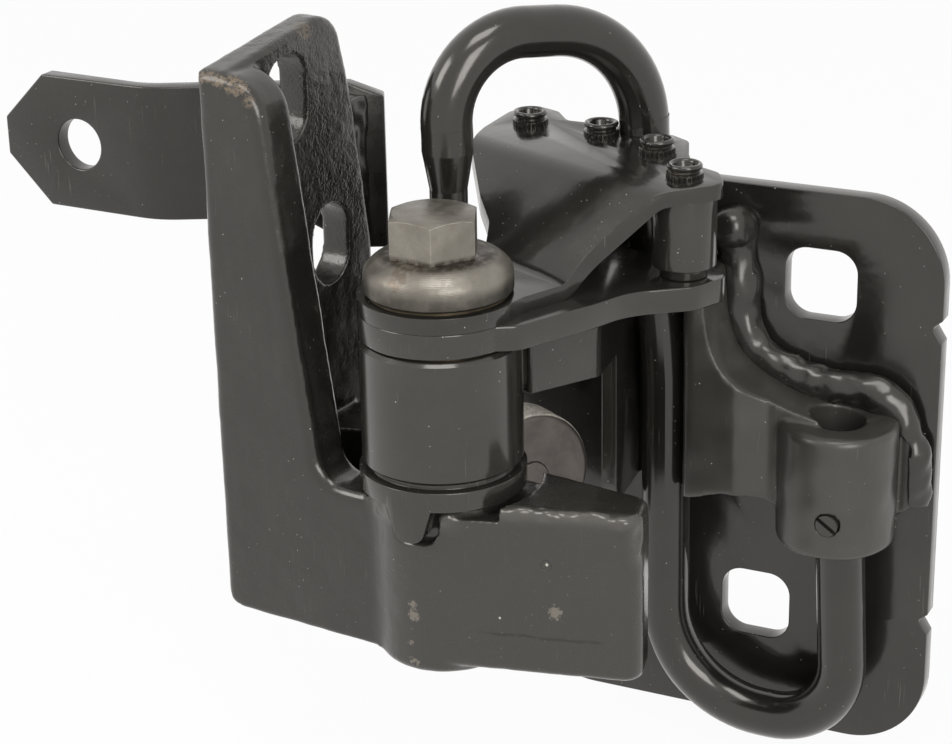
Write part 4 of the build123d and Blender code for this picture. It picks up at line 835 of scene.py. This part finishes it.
# Floor, world and lamps
FLOOR_HALF = 1.6
FLOOR_GAP = 0.6 * MM
FLOOR_GREY = (0.86, 0.86, 0.86)
FLOOR_WHITE_SHARE = 0.95
DIM_FROM, DIM_FULL, DIM_STRENGTH = 0.42, 0.76, 0.06
LAMP_TARGET = Vector((0.05, 0.0, 0.0))


def cleared(owner):
    """The owner's node tree, switched on and emptied."""
    owner.use_nodes = True
    owner.node_tree.nodes.clear()
    return owner.node_tree


def show_white(tree, plain, glow_kind, share, output_kind):
    """The tree's surface: plain white to the camera, in reflections and through glass, else the shader."""
    path = tree.nodes.new("ShaderNodeLightPath")
    seen = path.outputs["Is Camera Ray"]
    for ray in ("Is Glossy Ray", "Is Transmission Ray"):
        either = tree.nodes.new("ShaderNodeMath")
        either.operation = "MAXIMUM"
        tree.links.new(seen, either.inputs[0])
        tree.links.new(path.outputs[ray], either.inputs[1])
        seen = either.outputs["Value"]
    scaled = tree.nodes.new("ShaderNodeMath")
    scaled.operation = "MULTIPLY"
    scaled.inputs[1].default_value = share
    tree.links.new(seen, scaled.inputs[0])
    glow = tree.nodes.new(glow_kind)
    glow.inputs["Color"].default_value = (*WHITE, 1.0)
    glow.inputs["Strength"].default_value = 1.0
    mix = tree.nodes.new("ShaderNodeMixShader")
    tree.links.new(scaled.outputs["Value"], mix.inputs["Fac"])
    tree.links.new(plain.outputs[0], mix.inputs[1])
    tree.links.new(glow.outputs[0], mix.inputs[2])
    out = tree.nodes.new(output_kind)
    tree.links.new(mix.outputs["Shader"], out.inputs["Surface"])


def make_floor():
    """A white floor that keeps the object's shadow."""
    z = cad_low.z - FLOOR_GAP
    h = FLOOR_HALF
    mesh = bpy.data.meshes.new("floor")
    mesh.from_pydata([(-h, -h, z), (h, -h, z), (h, h, z), (-h, h, z)], [], [(0, 1, 2, 3)])
    floor = add_object("floor", mesh)
    floor_white = bpy.data.materials.new("floor_white")
    tree = cleared(floor_white)
    plain = tree.nodes.new("ShaderNodeBsdfDiffuse")
    plain.inputs["Color"].default_value = (*FLOOR_GREY, 1.0)
    show_white(tree, plain, "ShaderNodeEmission", FLOOR_WHITE_SHARE, "ShaderNodeOutputMaterial")
    mesh.materials.append(floor_white)


def make_world():
    """A white studio, whose own light on the object is dim from overhead."""
    world = bpy.data.worlds.new("studio")
    scene.world = world
    tree = cleared(world)
    split = tree.nodes.new("ShaderNodeSeparateXYZ")
    tree.links.new(tree.nodes.new("ShaderNodeTexCoord").outputs["Generated"], split.inputs["Vector"])
    fade = tree.nodes.new("ShaderNodeMapRange")
    fade.interpolation_type = "SMOOTHSTEP"
    fade.inputs["From Min"].default_value = DIM_FROM
    fade.inputs["From Max"].default_value = DIM_FULL
    fade.inputs["To Min"].default_value = 1.0
    fade.inputs["To Max"].default_value = DIM_STRENGTH
    tree.links.new(split.outputs["Z"], fade.inputs["Value"])
    room = tree.nodes.new("ShaderNodeBackground")
    room.inputs["Color"].default_value = (*WHITE, 1.0)
    tree.links.new(fade.outputs["Result"], room.inputs["Strength"])
    show_white(tree, room, "ShaderNodeBackground", 1.0, "ShaderNodeOutputWorld")


def add_lamp(name, place, size, power):
    data = bpy.data.lights.new(name, "AREA")
    data.shape = "RECTANGLE"
    data.size, data.size_y = size
    data.energy = power
    lamp = add_object(name, data)
    lamp.location = place
    lamp.rotation_euler = (LAMP_TARGET - Vector(place)).to_track_quat("-Z", "Y").to_euler()


make_floor()
make_world()
add_lamp("left_soft", (-0.75, -0.85, 0.75), (0.6, 0.6), 6.5)
add_lamp("right_soft", (0.95, -0.75, 0.45), (0.5, 0.8), 7.0)
add_lamp("top_soft", (0.25, -0.35, 1.1), (0.6, 0.4), 4.0)

# Camera, at the photograph's viewing angle
CAMERA_PLACE = Vector((0.31374, -0.40882, 0.15665))
CAMERA_AZIMUTH = radians(33.0)
CAMERA_DROP = radians(21.713)
CAMERA_ROLL = radians(-1.2385)
FOCAL_PIXELS = 2500.5
IMAGE_WIDTH = 952.0
SENSOR_MM = 36.0


def make_camera():
    data = bpy.data.cameras.new("camera")
    data.sensor_width = SENSOR_MM
    data.lens = FOCAL_PIXELS / IMAGE_WIDTH * SENSOR_MM
    data.clip_start = 0.01
    data.clip_end = 20.0
    forward = Vector((
        -sin(CAMERA_AZIMUTH) * cos(CAMERA_DROP),
        cos(CAMERA_AZIMUTH) * cos(CAMERA_DROP),
        -sin(CAMERA_DROP),
    ))
    right = Vector((cos(CAMERA_AZIMUTH), sin(CAMERA_AZIMUTH), 0.0))
    up = right.cross(forward)
    rolled_right = cos(CAMERA_ROLL) * right + sin(CAMERA_ROLL) * up
    rolled_up = cos(CAMERA_ROLL) * up - sin(CAMERA_ROLL) * right
    turn = Matrix((rolled_right, rolled_up, -forward)).transposed()
    camera = add_object("camera", data)
    camera.matrix_world = Matrix.Translation(CAMERA_PLACE) @ turn.to_4x4()
    bpy.context.scene.camera = camera


make_camera()
bpy.context.scene.view_settings.view_transform = "Standard"
